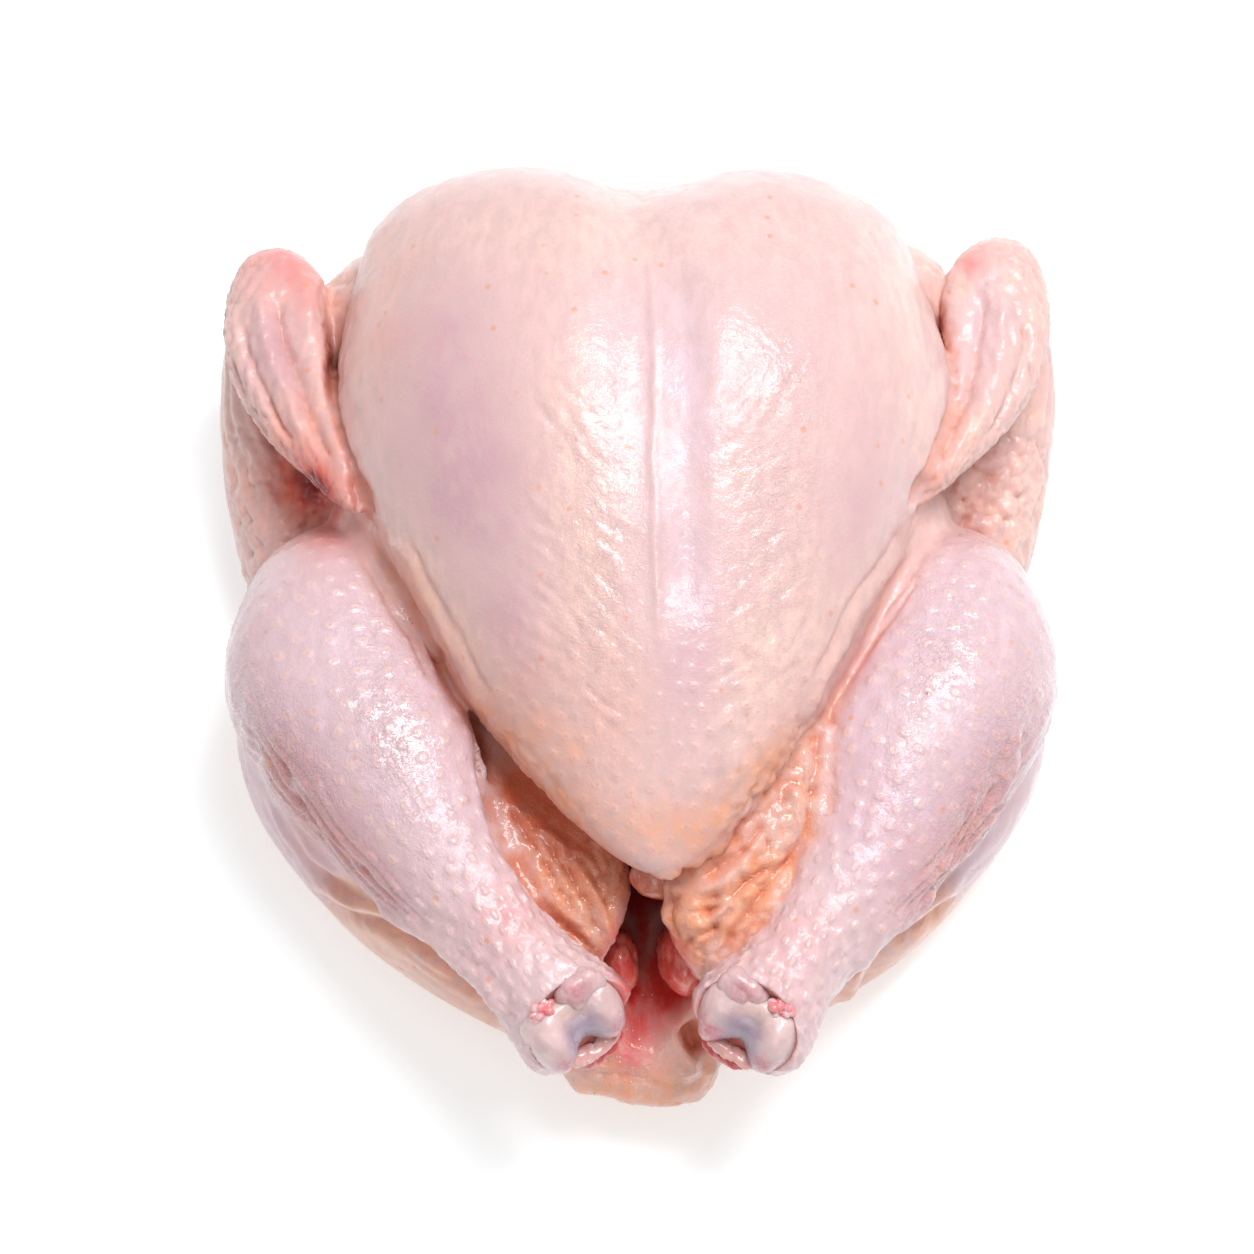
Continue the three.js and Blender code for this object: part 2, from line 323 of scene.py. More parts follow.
# The side that each name stands for, how far each wing lies off its stations, and the ways that the limbs'
# widths are measured: along X, along Y, or, on the legs, along X with this share of Y.
OUT = {"left": -1, "right": 1}
WING_SHIFT = {"left": (0, 0), "right": (-1.8, 2.5)}
ACROSS = (1.0, 0.0, 0.0)
LENGTHWISE = (0.0, 1.0, 0.0)
SLANT = 0.6


def design_shift():
    """The row frame's place of the design origin, in millimetres: a hock's box less its design centre."""
    low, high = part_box("hock_left")
    middle = (np.array(low) + np.array(high)) / 2 / MM
    return middle - np.array(HOCKS["left"]["centre"])


SHIFT = design_shift()
SHIFT[2] = 0.0

# The camera: degrees above the floor, then in millimetres its distance, the width of its field at the
# chicken's middle, and that middle.
VIEW = {"elevation": 70, "distance": 1200, "field": 307.2, "target": (-3.4, 0, 50)}
LOOKING_DOWN = math.radians(VIEW["elevation"])
TOWARDS_CAMERA = np.array([0, -math.cos(LOOKING_DOWN), math.sin(LOOKING_DOWN)])
UP_IN_VIEW = np.array([0, math.sin(LOOKING_DOWN), math.cos(LOOKING_DOWN)])


def in_view(points):
    """Where points fall in the camera's picture plane, in millimetres right and up of its middle."""
    offset = points - np.array(VIEW["target"])
    scale = VIEW["distance"] / (VIEW["distance"] - offset @ TOWARDS_CAMERA)
    return np.column_stack([offset[:, 0] * scale, offset @ UP_IN_VIEW * scale])


# ---- Curves and closed surfaces ----


def spline(values, t):
    """The uniform Catmull-Rom curve through the rows of values, at shares t of its length."""
    rows = np.asarray(values, float)
    rows = np.vstack([2 * rows[0] - rows[1], rows, 2 * rows[-1] - rows[-2]])
    spans = len(values) - 1
    place = np.clip(t, 0, 1) * spans
    first = np.minimum(place.astype(int), spans - 1)
    f = (place - first)[:, None]
    a, b, c, d = (rows[first + i] for i in range(4))
    return 0.5 * (2 * b + (c - a) * f + (2 * a - 5 * b + 4 * c - d) * f**2 + (3 * b - a - 3 * c + d) * f**3)


def rounded_end(t, cap):
    """The share of its full section that a shape has at t: a quarter circle over each end."""
    from_end = np.minimum(np.minimum(t, 1 - t) / cap, 1)
    return np.sqrt(np.maximum(0, 1 - (1 - from_end) ** 2))


def squared(value, squareness):
    """The signed power that squares a circle's cosine or sine: 2 leaves it round."""
    return np.sign(value) * np.abs(value) ** (2 / squareness)


def smooth(value, low, high):
    """0 below low, 1 above high, and 3v^2 - 2v^3 between."""
    v = np.clip((value - low) / (high - low), 0, 1)
    return v * v * (3 - 2 * v)


def limb_axis(stations, across, t):
    """Centre, half-width, half-depth and the three directions of a limb at shares t along it.

    The forward direction is the slope of the spline, the side is across less its forward share, and the
    lift is forward times side.
    """
    values = spline(stations, t)
    middles = np.array(stations)[:, :3]
    step = 1e-4
    forward = spline(middles, t + step) - spline(middles, t - step)
    forward /= np.linalg.norm(forward, axis=1, keepdims=True)
    across = np.asarray(across, float)
    side = across - forward * (forward @ across)[:, None]
    side /= np.linalg.norm(side, axis=1, keepdims=True)
    return values[:, :3], values[:, 3], values[:, 4], side, np.cross(forward, side), forward


def limb(stations, across, cap=0.16, squareness=2.0, around=72, along=90):
    """A closed oval tube: centre(t) + side half-width cos + lift half-depth sin, rounded at both ends."""
    t = (1 - np.cos(np.pi * np.linspace(0, 1, along + 1))) / 2
    centre, width, depth, side, lift, _ = limb_axis(stations, across, t)
    closing = rounded_end(t, cap)
    angle = np.linspace(0, 2 * np.pi, around, endpoint=False)
    c = squared(np.cos(angle), squareness)[None, :, None]
    s = squared(np.sin(angle), squareness)[None, :, None]
    grid = (
        centre[:, None, :]
        + side[:, None, :] * (width * closing)[:, None, None] * c
        + lift[:, None, :] * (depth * closing)[:, None, None] * s
    )
    return closed_surface(grid)


def torso(stations, squareness, cap, relief=None, around=160, along=150):
    """A closed tube along y whose section rises and drops by different amounts from its widest level."""
    t = (1 - np.cos(np.pi * np.linspace(0, 1, along + 1))) / 2
    y, x, width, level, rise, drop = (column[:, None] for column in spline(stations, t).T)
    closing = rounded_end(t, cap)[:, None]
    angle = np.linspace(0, 2 * np.pi, around, endpoint=False)[None, :]
    sideways = width * closing * squared(np.cos(angle), squareness)
    upwards = np.sin(angle) * closing
    height = np.where(upwards > 0, rise, drop) * closing * squared(np.sin(angle), squareness)
    back, down = relief(sideways, y, upwards) if relief else (0, 0)
    grid = np.stack([x + sideways, y - back + 0 * sideways, level + height - down], axis=-1)
    return closed_surface(grid)


def breast_relief(sideways, y, upwards):
    """The notch between the lobes at the neck, and the groove along the keel that runs out tailwards."""
    near_neck = smooth(y, BREAST[0][0] - 45, BREAST[0][0])
    pinch = 9 * near_neck * np.exp(-(((sideways - 1.8) / 21) ** 2))
    valley = 3.4 * smooth(y, 0, 45) * np.exp(-((sideways / 9) ** 2))
    return pinch, valley * np.maximum(0, upwards)


def closed_surface(grid):
    """Points, quads and triangles of a grid of rows round an axis, whose first and last rows are poles."""
    rows, around, _ = grid.shape
    points = np.vstack([grid[0].mean(0), grid[1:-1].reshape(-1, 3), grid[-1].mean(0)])
    row = 1 + np.arange(rows - 3)[:, None] * around
    i = np.arange(around)[None, :]
    j = (i + 1) % around
    quads = np.stack([row + i, row + j, row + around + j, row + around + i], axis=-1).reshape(-1, 4)
    i, j = i[0], j[0]
    first_pole = 0 * i
    last_pole = 0 * i + len(points) - 1
    last_row = 1 + (rows - 3) * around
    first_fan = np.stack([first_pole, 1 + j, 1 + i], 1)
    last_fan = np.stack([last_pole, last_row + i, last_row + j], 1)
    return points, quads, np.vstack([first_fan, last_fan])


def mirrored(stations, out, shift=(0, 0)):
    """The stations of a limb on one side of the body."""
    return [((x + shift[0]) * out, y + shift[1], *rest) for x, y, *rest in stations]


# ---- Meshes ----


def new_mesh(name, points, quads, triangles=None):
    """A mesh object at the origin with these points, in metres, and faces."""
    triangles = np.zeros((0, 3), int) if triangles is None else triangles
    mesh = bpy.data.meshes.new(name)
    mesh.vertices.add(len(points))
    mesh.vertices.foreach_set("co", np.asarray(points, np.float32).ravel())
    corners = np.concatenate([np.asarray(quads).ravel(), np.asarray(triangles).ravel()]).astype(np.int32)
    sizes = np.concatenate([np.full(len(quads), 4), np.full(len(triangles), 3)])
    mesh.loops.add(len(corners))
    mesh.loops.foreach_set("vertex_index", corners)
    mesh.polygons.add(len(sizes))
    mesh.polygons.foreach_set("loop_start", np.concatenate([[0], np.cumsum(sizes)[:-1]]).astype(np.int32))
    mesh.update(calc_edges=True)
    mesh.shade_smooth()
    made = bpy.data.objects.new(name, mesh)
    bpy.context.scene.collection.objects.link(made)
    return made


def joined_mesh(name, surfaces):
    """One mesh object of several closed surfaces, in millimetres in the design frame."""
    points, quads, ends, start = [], [], [], 0
    for p, q, e in surfaces:
        points.append(p)
        quads.append(q + start)
        ends.append(e + start)
        start += len(p)
    return new_mesh(name, (np.vstack(points) + SHIFT) * MM, np.vstack(quads), np.vstack(ends))


def with_modifiers(made):
    """Replaces an object's mesh by what its modifiers make of it, without the empty slots that they add."""
    depsgraph = bpy.context.evaluated_depsgraph_get()
    mesh = bpy.data.meshes.new_from_object(made.evaluated_get(depsgraph))
    old = made.data
    made.modifiers.clear()
    made.data = mesh
    bpy.data.meshes.remove(old)
    mesh.materials.clear()
    mesh.polygons.foreach_set("material_index", np.zeros(len(mesh.polygons), np.int32))
    mesh.shade_smooth()


def points_of(mesh):
    """The vertices of a mesh, in millimetres in the design frame."""
    flat = np.empty(len(mesh.vertices) * 3, np.float32)
    mesh.vertices.foreach_get("co", flat)
    return flat.reshape(-1, 3).astype(float) / MM - SHIFT


def set_points(mesh, points):
    """Moves the vertices of a mesh to these points."""
    mesh.vertices.foreach_set("co", ((points + SHIFT) * MM).astype(np.float32).ravel())
    mesh.update()


def edges_of(mesh):
    """The two vertices of every edge."""
    flat = np.empty(len(mesh.edges) * 2, np.int32)
    mesh.edges.foreach_get("vertices", flat)
    return flat.reshape(-1, 2)


def normals_of(mesh):
    """The normals of the vertices."""
    flat = np.empty(len(mesh.vertices) * 3, np.float32)
    mesh.vertex_normals.foreach_get("vector", flat)
    return flat.reshape(-1, 3).astype(float)


class Net:
    """The edges of a mesh, for averages over the neighbours of every vertex."""

    def __init__(self, mesh):
        edges = edges_of(mesh)
        self.count = len(mesh.vertices)
        self.start = np.concatenate([edges[:, 0], edges[:, 1]])
        self.end = np.concatenate([edges[:, 1], edges[:, 0]])
        self.degree = np.maximum(np.bincount(self.start, minlength=self.count), 1)

    def average(self, values):
        """The mean of each vertex's neighbours."""
        columns = values.reshape(self.count, -1)
        sums = [np.bincount(self.start, columns[self.end, k], self.count) for k in range(columns.shape[1])]
        return (np.stack(sums, 1) / self.degree[:, None]).reshape(values.shape)

    def spread(self, values, rounds):
        """Values blurred over the neighbours this many times."""
        for _ in range(rounds):
            values = (values + self.average(values)) / 2
        return values


def relax(made, share, concave_rounds, all_rounds=4):
    """Fills creases as tight skin does: points move to their neighbours' mean, first where the surface is
    hollow, times each point's share, and then a little everywhere."""
    mesh = made.data
    net = Net(mesh)
    points = points_of(mesh)
    for _ in range(all_rounds):
        points += 0.5 * (net.average(points) - points)
    for round_ in range(concave_rounds):
        if round_ % 5 == 0:
            set_points(mesh, points)
            normals = normals_of(mesh)
        pull = net.average(points) - points
        hollow = (pull * normals).sum(1)
        weight = smooth(net.average(hollow), 0.0, 0.05) * share
        points += 0.55 * weight[:, None] * pull
    for _ in range(all_rounds):
        points += 0.5 * (net.average(points) - points)
    set_points(mesh, points)


# ---- Noise and patterns on points, as whole arrays ----


def hashed(cells, seed):
    """A number from 0 to 1 for every row of whole numbers: the fraction of a large multiple of a sine."""
    tangled = cells[:, 0] * 127.1 + cells[:, 1] * 311.7 + cells[:, 2] * 74.7 + seed * 53.3
    value = np.sin(tangled) * 43758.5453
    return value - np.floor(value)


def noise(points, size, seed=0):
    """Smooth noise from -1 to 1: hashed numbers at the corners of cubes of this size, blended between."""
    place = points / size
    base = np.floor(place)
    f = place - base
    f = f * f * (3 - 2 * f)
    total = np.zeros(len(points))
    for corner in np.ndindex(2, 2, 2):
        weight = np.prod([f[:, k] if corner[k] else 1 - f[:, k] for k in range(3)], axis=0)
        total += weight * hashed(base + corner, seed)
    return 2 * total - 1


def rough(points, size, seed=0, layers=3):
    """Layers of noise, each half the size and half the strength of the last."""
    return sum(noise(points, size / 2**k, seed + k) / 2**k for k in range(layers))


def lobules(points, size, seed=0, wander=0.42):
    """Rounded domes round scattered centres, one to a cell of this size, with sharp valleys where they
    meet: a mean less the squared distance from the nearest centre."""
    place = points / size
    base = np.floor(place)
    nearest = np.full(len(points), 9.0)
    for step in np.ndindex(3, 3, 3):
        cell = base + np.array(step) - 1
        away = cell + 0.5 - wander - place
        squares = sum((away[:, k] + 2 * wander * hashed(cell, seed + k)) ** 2 for k in range(3))
        nearest = np.minimum(nearest, squares)
    return 0.45 - nearest / 0.5


def curds(points, size, seed, stretch=(1, 1, 1)):
    """Soft clumps of fat: lobules on bent and stretched places, with smaller ones on them."""
    bend = np.stack([noise(points, size * 1.7, seed + k) for k in range(3)], 1)
    place = (points + 0.4 * size * bend) * np.array(stretch)
    return lobules(place, size, seed) + 0.35 * lobules(place, size * 0.46, seed + 9)


def folds(across, wavelength, warp=0.0):
    """Rounded crests with sharp valleys between: the size of a sine of the distance across, less a mean."""
    return np.abs(np.sin(np.pi * across / wavelength + warp)) - 0.64


# The lattice of feather follicles: millimetres between them, how far they wander in spacings, and the
# numbers that a cell's two numbers are multiplied by before the sine that moves its follicle. Then the
# ranges of distance, in spacings, over which its pale bump and its pore fade. On the breast they lie a
# little closer than that, and on the back further apart.
FOLLICLE = {
    "spacing": 5.4,
    "wander": 0.28,
    "sines": ((12.9, 78.2), (39.3, 11.1)),
    "bump": (0.02, 0.34),
    "pore": (0.03, 0.13),
}
CLOSER_SET = 1.05
WIDER_SET = 0.8


def follicle_offset(u, v):
    """Where a point lies from its follicle's middle, in spacings, on a diagonal lattice whose middles
    wander by a sine of the cell's numbers. The material has the same formula."""
    a = (u + v) / FOLLICLE["spacing"] / math.sqrt(2)
    b = (v - u) / FOLLICLE["spacing"] / math.sqrt(2)
    i, j = np.floor(a), np.floor(b)
    (p, q), (r, s) = FOLLICLE["sines"]
    x = a - i - 0.5 - FOLLICLE["wander"] * np.sin(p * i + q * j)
    y = b - j - 0.5 - FOLLICLE["wander"] * np.sin(r * i + s * j)
    return x, y


def follicle_bumps(u, v, width):
    """A bell round every follicle, of this width in spacings."""
    return np.exp(-((np.hypot(*follicle_offset(u, v)) / width) ** 2))


def along_curve(places, curve, samples=48):
    """Distance from a smooth curve through a few places, and the share along it of the nearest point."""
    curve = np.asarray(curve, float)
    track = spline(curve, np.linspace(0, 1, samples))
    distance = np.full(len(places), 1e3)
    share = np.zeros(len(places))
    margin = 14
    near = np.all((places > track.min(0) - margin) & (places < track.max(0) + margin), axis=1)
    if not near.any():
        return distance, share
    gap = places[near][:, None, :] - track[None, :, :]
    best = np.argmin((gap**2).sum(-1), axis=1)
    slope = np.gradient(track, axis=0)[best]
    chosen = gap[np.arange(len(best)), best]
    steepness = np.linalg.norm(slope, axis=1)
    run = (chosen * slope).sum(1) / steepness
    cross = (slope[:, 0] * chosen[:, 1] - slope[:, 1] * chosen[:, 0]) / steepness
    inside = (best > 0) & (best < samples - 1)
    distance[near] = np.where(inside, np.abs(cross), np.hypot(run, cross))
    share[near] = best / (samples - 1)
    return distance, share


def limb_place(points, stations, out, across):
    """Where points lie about a limb: millimetres along it, the angle round it from outwards over the top,
    and the distance from its oval surface."""
    stations = np.asarray(stations, float)
    axis_t = np.linspace(0, 1, 61)
    track = spline(stations[:, :3], axis_t)
    reach = stations[:, 3:].max() + 7
    near = np.all((points > track.min(0) - reach) & (points < track.max(0) + reach), axis=1)
    local = points[near]
    gap2 = ((local[:, None, :] - track[None, :, :]) ** 2).sum(-1)
    t = axis_t[np.argmin(gap2, axis=1)]
    lengths = np.concatenate([[0], np.cumsum(np.linalg.norm(np.diff(track, axis=0), axis=1))])
    centre, width, depth, side, lift, forward = limb_axis(stations, across, t)
    t = np.clip(t + ((local - centre) * forward).sum(1) / lengths[-1], 0, 1)
    centre, width, depth, side, lift, forward = limb_axis(stations, across, t)
    offset = local - centre
    outwards = (offset * side).sum(1) * np.sign(side[:, 0] * out)
    upwards = (offset * lift).sum(1) * np.sign(lift[:, 2])
    share = np.hypot(outwards / width, upwards / depth)
    past = np.abs((offset * forward).sum(1)) * ((t <= 0) | (t >= 1))
    run = np.zeros(len(points))
    run[near] = np.interp(t, axis_t, lengths)
    angle = np.zeros(len(points))
    angle[near] = np.arctan2(upwards / depth, outwards / width)
    away = np.full(len(points), 50.0)
    away[near] = np.abs(share - 1) * np.minimum(width, depth) + past
    return {"run": run, "angle": angle, "away": away}


def torso_place(points, stations):
    """As limb_place, for the breast and the back, whose stations lie along y."""
    stations = np.asarray(stations, float)
    axis_t = np.linspace(0, 1, 200)
    track = spline(stations, axis_t)
    order = np.argsort(track[:, 0])
    t = np.interp(points[:, 1], track[order, 0], axis_t[order])
    y, x, width, level, rise, drop = spline(stations, t).T
    up = points[:, 2] - level
    a = (points[:, 0] - x) / width
    b = up / np.where(up > 0, rise, drop)
    past = np.maximum(0, np.maximum(points[:, 1] - stations[0, 0], stations[-1, 0] - points[:, 1]))
    away = np.abs(np.hypot(a, b) - 1) * np.minimum(rise + drop, width) * 0.7 + past
    return {"run": stations[0, 0] - points[:, 1], "angle": np.arctan2(b, a), "away": away}


WING = {"upper_arm": UPPER_ARM, "forearm": FOREARM, "wing_web": WING_WEB, "hand": HAND}
UPPER_LEG = {"thigh": THIGH, "bend": BEND}


def places_on_body(points):
    """The place of every point about each limb and each half of the torso, and the share that each has of
    the surface there, which falls off as the distance from it grows."""
    places = {"breast": torso_place(points, BREAST), "back": torso_place(points, BACK)}
    places["tail"] = limb_place(points, TAIL, 1, ACROSS)
    places["neck_flap"] = limb_place(points, NECK_FLAP, 1, LENGTHWISE)
    places["flap_left"] = limb_place(points, LEFT_FLAP, -1, ACROSS)
    places["flap_right"] = limb_place(points, RIGHT_FLAP, 1, ACROSS)
    places["cavity"] = limb_place(points, CAVITY, 1, ACROSS)
    for name, out in OUT.items():
        drumstick = mirrored(DRUMSTICK[name], out)
        places["drumstick_" + name] = limb_place(points, drumstick, out, (out, SLANT, 0))
        for part, stations in WING.items():
            arm = mirrored(stations, out, WING_SHIFT[name])
            places[part + "_" + name] = limb_place(points, arm, out, ACROSS)
        for part, stations in UPPER_LEG.items():
            places[part + "_" + name] = limb_place(points, mirrored(stations, out), out, (out, -SLANT, 0))
        places["flank_" + name] = limb_place(points, mirrored(FLANK, out), out, ACROSS)
    closeness = {name: np.exp(-((place["away"] / 2.2) ** 2)) + 1e-9 for name, place in places.items()}
    total = sum(closeness.values())
    for name, place in places.items():
        place["share"] = closeness[name] / total
    return places


# ---- The relief carved into the skin ----

# Furrows (negative) and ridges: height and half-width in millimetres, the level that they stay above, and
# the few places that they pass through in the picture plane.
CREASES = [
    # The taut fold of skin from each wing tip down between the breast and the drumstick, and its furrows.
    (0.9, 1.2, 40, [(-60, 25), (-55, 18), (-50, 10), (-44.5, -1), (-38, -15), (-33, -25)]),
    (-0.7, 0.7, 40, [(-55, 25), (-49, 13), (-42, 0), (-36.5, -11), (-33, -17)]),
    (-0.7, 0.7, 40, [(-59, 17), (-52, 4), (-46, -8), (-41, -20)]),
    (0.9, 1.2, 40, [(72, 24), (65, 15), (59, 7), (53, -4), (48.5, -14), (44, -26)]),
    (-0.7, 0.7, 40, [(68, 25), (60, 13), (53, 2), (48.5, -8), (45.5, -14)]),
    (-0.7, 0.7, 40, [(72, 14), (66, 4), (58, -6), (52, -18)]),
    (-0.7, 0.6, 40, [(-62, 22), (-57.5, 13), (-50, 0), (-43, -14)]),
    (-0.6, 0.6, 40, [(-66, 20), (-60, 8), (-53, -4), (-47, -16)]),
    (0.6, 0.6, 40, [(-64, 22), (-58.5, 10), (-51.5, -2), (-45, -15)]),
    (-0.7, 0.6, 40, [(74, 20), (68, 10), (61, -1), (54, -12)]),
    (0.6, 0.6, 40, [(73, 18), (67, 8), (60, -2.5), (53, -14)]),
    # The gaps under the breast's edges, and between each drumstick and the flap beside it.
    (-2.6, 1.4, 40, [(-38, -18), (-34.5, -38), (-29, -54), (-19, -69), (-6, -82)]),
    (-1.8, 1.2, 40, [(47, -22), (46, -34), (43.5, -51), (31, -68), (23, -82)]),
    # Swirling folds between the clumps of the right flap.
    (-1.3, 0.9, 46, [(34, -46), (29, -54), (24, -57), (18, -62)]),
    (-1.4, 0.9, 44, [(36, -58), (29, -62), (24, -68), (15, -70)]),
    (-1.2, 0.8, 40, [(28, -66), (22, -73), (16, -76), (11, -80)]),
    (1.2, 1.6, 44, [(33, -52), (27, -59), (22, -63), (16, -66)]),
    (1.0, 1.4, 42, [(31, -62), (25, -68), (20, -72), (14, -75)]),
    # Folds down the left flap.
    (-1.3, 0.9, 40, [(-22, -50), (-16, -58), (-10, -66), (-6, -76)]),
    (-1.1, 0.8, 40, [(-14, -54), (-8, -62), (-4, -70), (-2, -78)]),
    (-1.0, 0.8, 40, [(-30, -42), (-24, -52), (-17, -62), (-12, -72)]),
    (1.2, 1.3, 40, [(-11, -60), (-6, -67), (-3, -75), (-2, -83)]),
    # The finger bone of each hand, the furrow beside it and the ridges beyond.
    (2.3, 2.8, 40, [(-80, 90), (-78, 80), (-76, 66), (-72, 52), (-69, 42), (-66, 33)]),
    (-1.8, 1.3, 40, [(-87, 83), (-84, 72), (-80, 60), (-76, 49), (-72, 40)]),
    (1.5, 1.7, 40, [(-91, 84), (-89, 72), (-84, 58), (-79, 46)]),
    (-1.4, 1.0, 40, [(-95, 78), (-92, 66), (-87, 54), (-81, 43)]),
    (-1.2, 0.9, 40, [(-98, 68), (-94, 57), (-89, 47), (-84, 39)]),
    (2.2, 2.7, 40, [(81, 88), (79.5, 76), (78, 62), (76, 50), (74, 41), (72, 34)]),
    (-2.0, 1.6, 40, [(86.5, 86), (86, 72), (84, 59), (80, 48), (76, 38)]),
    (1.2, 1.7, 40, [(92, 84), (92, 70), (89, 56), (83, 44)]),
    (-1.2, 1.0, 40, [(98, 78), (97, 66), (93, 54), (88, 45)]),
    # The thin skin that hangs in folds from the outside of each drumstick over the thigh.
    (-1.2, 1.6, 18, [(-93, -22), (-89, -36), (-82, -51), (-72, -62), (-60, -69)]),
    (-0.8, 1.1, 18, [(-96, -20), (-94, -34), (-88, -48), (-79, -60)]),
    (1.3, 1.3, 18, [(-91, -26), (-86, -42), (-77, -55), (-66, -63)]),
    (-1.0, 0.9, 18, [(-86, -30), (-80, -44), (-72, -54), (-60, -62)]),
    (1.8, 1.5, 18, [(-80, -61), (-69, -66.5), (-56, -71), (-44, -79), (-34, -90), (-30, -98)]),
    (-2.6, 1.5, 16, [(-82, -65), (-70, -70), (-57, -74.5), (-46, -82), (-36, -92), (-32, -99)]),
    (-1.0, 1.5, 18, [(100, -16), (97, -34), (90, -50), (80, -61), (70, -68)]),
    (1.2, 1.3, 18, [(97, -22), (92, -40), (84, -53), (74, -62)]),
    (-0.7, 1.0, 18, [(94, -26), (88, -42), (78, -54), (66, -64)]),
    (1.8, 1.5, 18, [(84, -60), (72, -69), (62, -75), (56, -85), (52, -95)]),
    (-2.6, 1.5, 16, [(86, -63), (74, -72), (65, -78), (59, -87), (55, -97)]),
    # The keel: a thin ridge with the hollow to its right, and the scalloped rim under its left.
    (0.6, 1.0, 60, [(4.6, 96), (6.4, 76), (6.7, 50), (7.0, 20), (8.2, -10)]),
    (-1.3, 5.0, 60, [(10, 98), (14, 76), (15, 50), (15, 25), (14, 0)]),
    # The tail: its folds and the pit at its right.
    (1.6, 1.4, 6, [(8, -92), (9.5, -97), (12, -102), (15.5, -107), (14, -111)]),
    (-1.2, 1.0, 6, [(4, -96), (6, -101), (7, -106)]),
    (-4.4, 2.4, 6, [(13.5, -97), (16, -101), (19, -104)]),
    (1.4, 1.6, 6, [(19, -98), (21, -102), (21.5, -107), (18, -111)]),
    (-0.6, 1.0, 6, [(-12, -108), (-5, -110), (4, -110.5), (12, -112)]),
    (-1.1, 0.9, 6, [(-6, -98), (-4, -103), (-6, -108)]),
]


def carved(points, normals):
    """The furrows and ridges: a bell across each curve, bent a little by noise, that fades at its ends."""
    wander = np.stack([rough(points, 7, 91 + k, 2) for k in range(2)], 1)
    seen = in_view(points) + 0.7 * wander
    upper = smooth(normals @ TOWARDS_CAMERA, -0.05, 0.3)
    height = np.zeros(len(points))
    for rise, width, level, curve in CREASES:
        distance, share = along_curve(seen, curve)
        ends = smooth(share, 0, 0.16) * smooth(1 - share, 0, 0.16)
        above = upper * smooth(points[:, 2], level - 4, level + 4)
        height += rise * np.exp(-((distance / width) ** 2)) * ends * above
    return height


def breast_lattice(points, normals):
    """The follicles' coordinates on the breast, in the picture plane, and how plainly they show: more
    towards the tip, and not at all where the sides turn down."""
    seen = in_view(points)
    plainer = 0.15 + 0.5 * smooth(-seen[:, 1], -20, 25)
    return seen[:, 0] * CLOSER_SET, seen[:, 1] * CLOSER_SET, plainer * smooth(normals[:, 2], 0.2, 0.5)


def breast_folds(points, normals, place):
    """Bumps round the follicles, drawn-out dimples either side of the keel and fat at its tip."""
    seen = in_view(points)
    x, y = seen[:, 0], seen[:, 1]
    u, v, shown = breast_lattice(points, normals)
    short_of_tip = smooth(points[:, 1], -66, -56)
    rim = (1 - smooth(normals[:, 2], 0.3, 0.7)) * smooth(points[:, 1], -60, -40)
    height = 0.26 * follicle_bumps(u, v, 0.3) * shown * short_of_tip
    height += 0.4 * lobules(points, 5.0, 24) * rim
    patchy = smooth(rough(points, 16, 21), -0.6, 0.5)
    bent = 1.5 * noise(points, 10, 11)
    for side, low, high in ((1, -32, 4), (-1, 16, 50)):
        tract = smooth(x, low, low + 12) * (1 - smooth(x, high - 10, high))
        tract = tract * smooth(y, -62, -40) * (1 - smooth(y, 55, 85))
        down = (side * x - y) / math.sqrt(2)
        over = (side * x + y) / math.sqrt(2) + bent
        rows = np.column_stack([down * 0.32, over, points[:, 2] * 0.3])
        broken = smooth(noise(np.column_stack([down * 0.5, over, 0 * x]), 4.6, 27), -0.5, 0.5)
        height += 0.3 * folds(over, 5.2, 1.3 * noise(points, 8, 25)) * tract * broken * patchy
        height += 0.4 * lobules(rows, 2.4, 23) * tract * (0.35 + 0.65 * patchy)
    fat = smooth(x, 14, 26) * smooth(-y, 18, 40) * short_of_tip
    height += 0.8 * curds(points, 4.4, 5, (0.9, 0.6, 0.8)) * fat
    edge = smooth(-y, 10, 30) * (1 - smooth(normals[:, 2], 0.45, 0.75))
    return height + 0.5 * curds(points, 3.4, 15) * edge * short_of_tip


# A usual radius of each limb, which turns the angle round it into millimetres.
GIRTH = {"drumstick": 21, "thigh": 24, "forearm": 12}


def drumstick_folds(points, normals, place):
    """Bumps round the follicles, long folds down the outer side and a puckered ankle."""
    run, angle = place["run"], place["angle"]
    round_it = angle * GIRTH["drumstick"]
    plump = 0.55 + 0.45 * noise(points, 14, 31)
    height = 0.52 * follicle_bumps(run, round_it, 0.34) * smooth(run, 10, 26) * plump
    outer = np.exp(-(((angle - 0.1) / 0.4) ** 2)) * smooth(run, 45, 65) * (1 - smooth(run, 95, 125))
    height += 1.0 * folds(round_it + 0.09 * run, 2.9, 2.6 * noise(points, 11, 41)) * outer
    height += 0.55 * curds(points, 4.2, 7) * smooth(run, 104, 126)
    return height + 0.3 * folds(run, 2.4, 1.8 * noise(points, 6, 45)) * smooth(run, 126, 138)


def thigh_folds(points, normals, place):
    """Folds round the thigh, where it shows below the drumstick."""
    fold = folds(place["angle"] * GIRTH["thigh"], 6.4, 3.2 * noise(points, 13, 43))
    return (0.45 * fold + 0.4 * rough(points, 8, 47)) * smooth(place["angle"], -0.4, 0.5)


def hand_folds(points, normals, place):
    """Folds that slant along the hand's outer half towards its tip."""
    low = 1 - smooth(place["angle"], 1.1, 1.9)
    slant = place["angle"] * 10 + place["run"] * 0.42
    height = 0.55 * folds(slant, 3.2, 2.2 * noise(points, 6, 51)) * (0.2 + 0.8 * low)
    return height + 0.4 * curds(points, 2.6, 53)


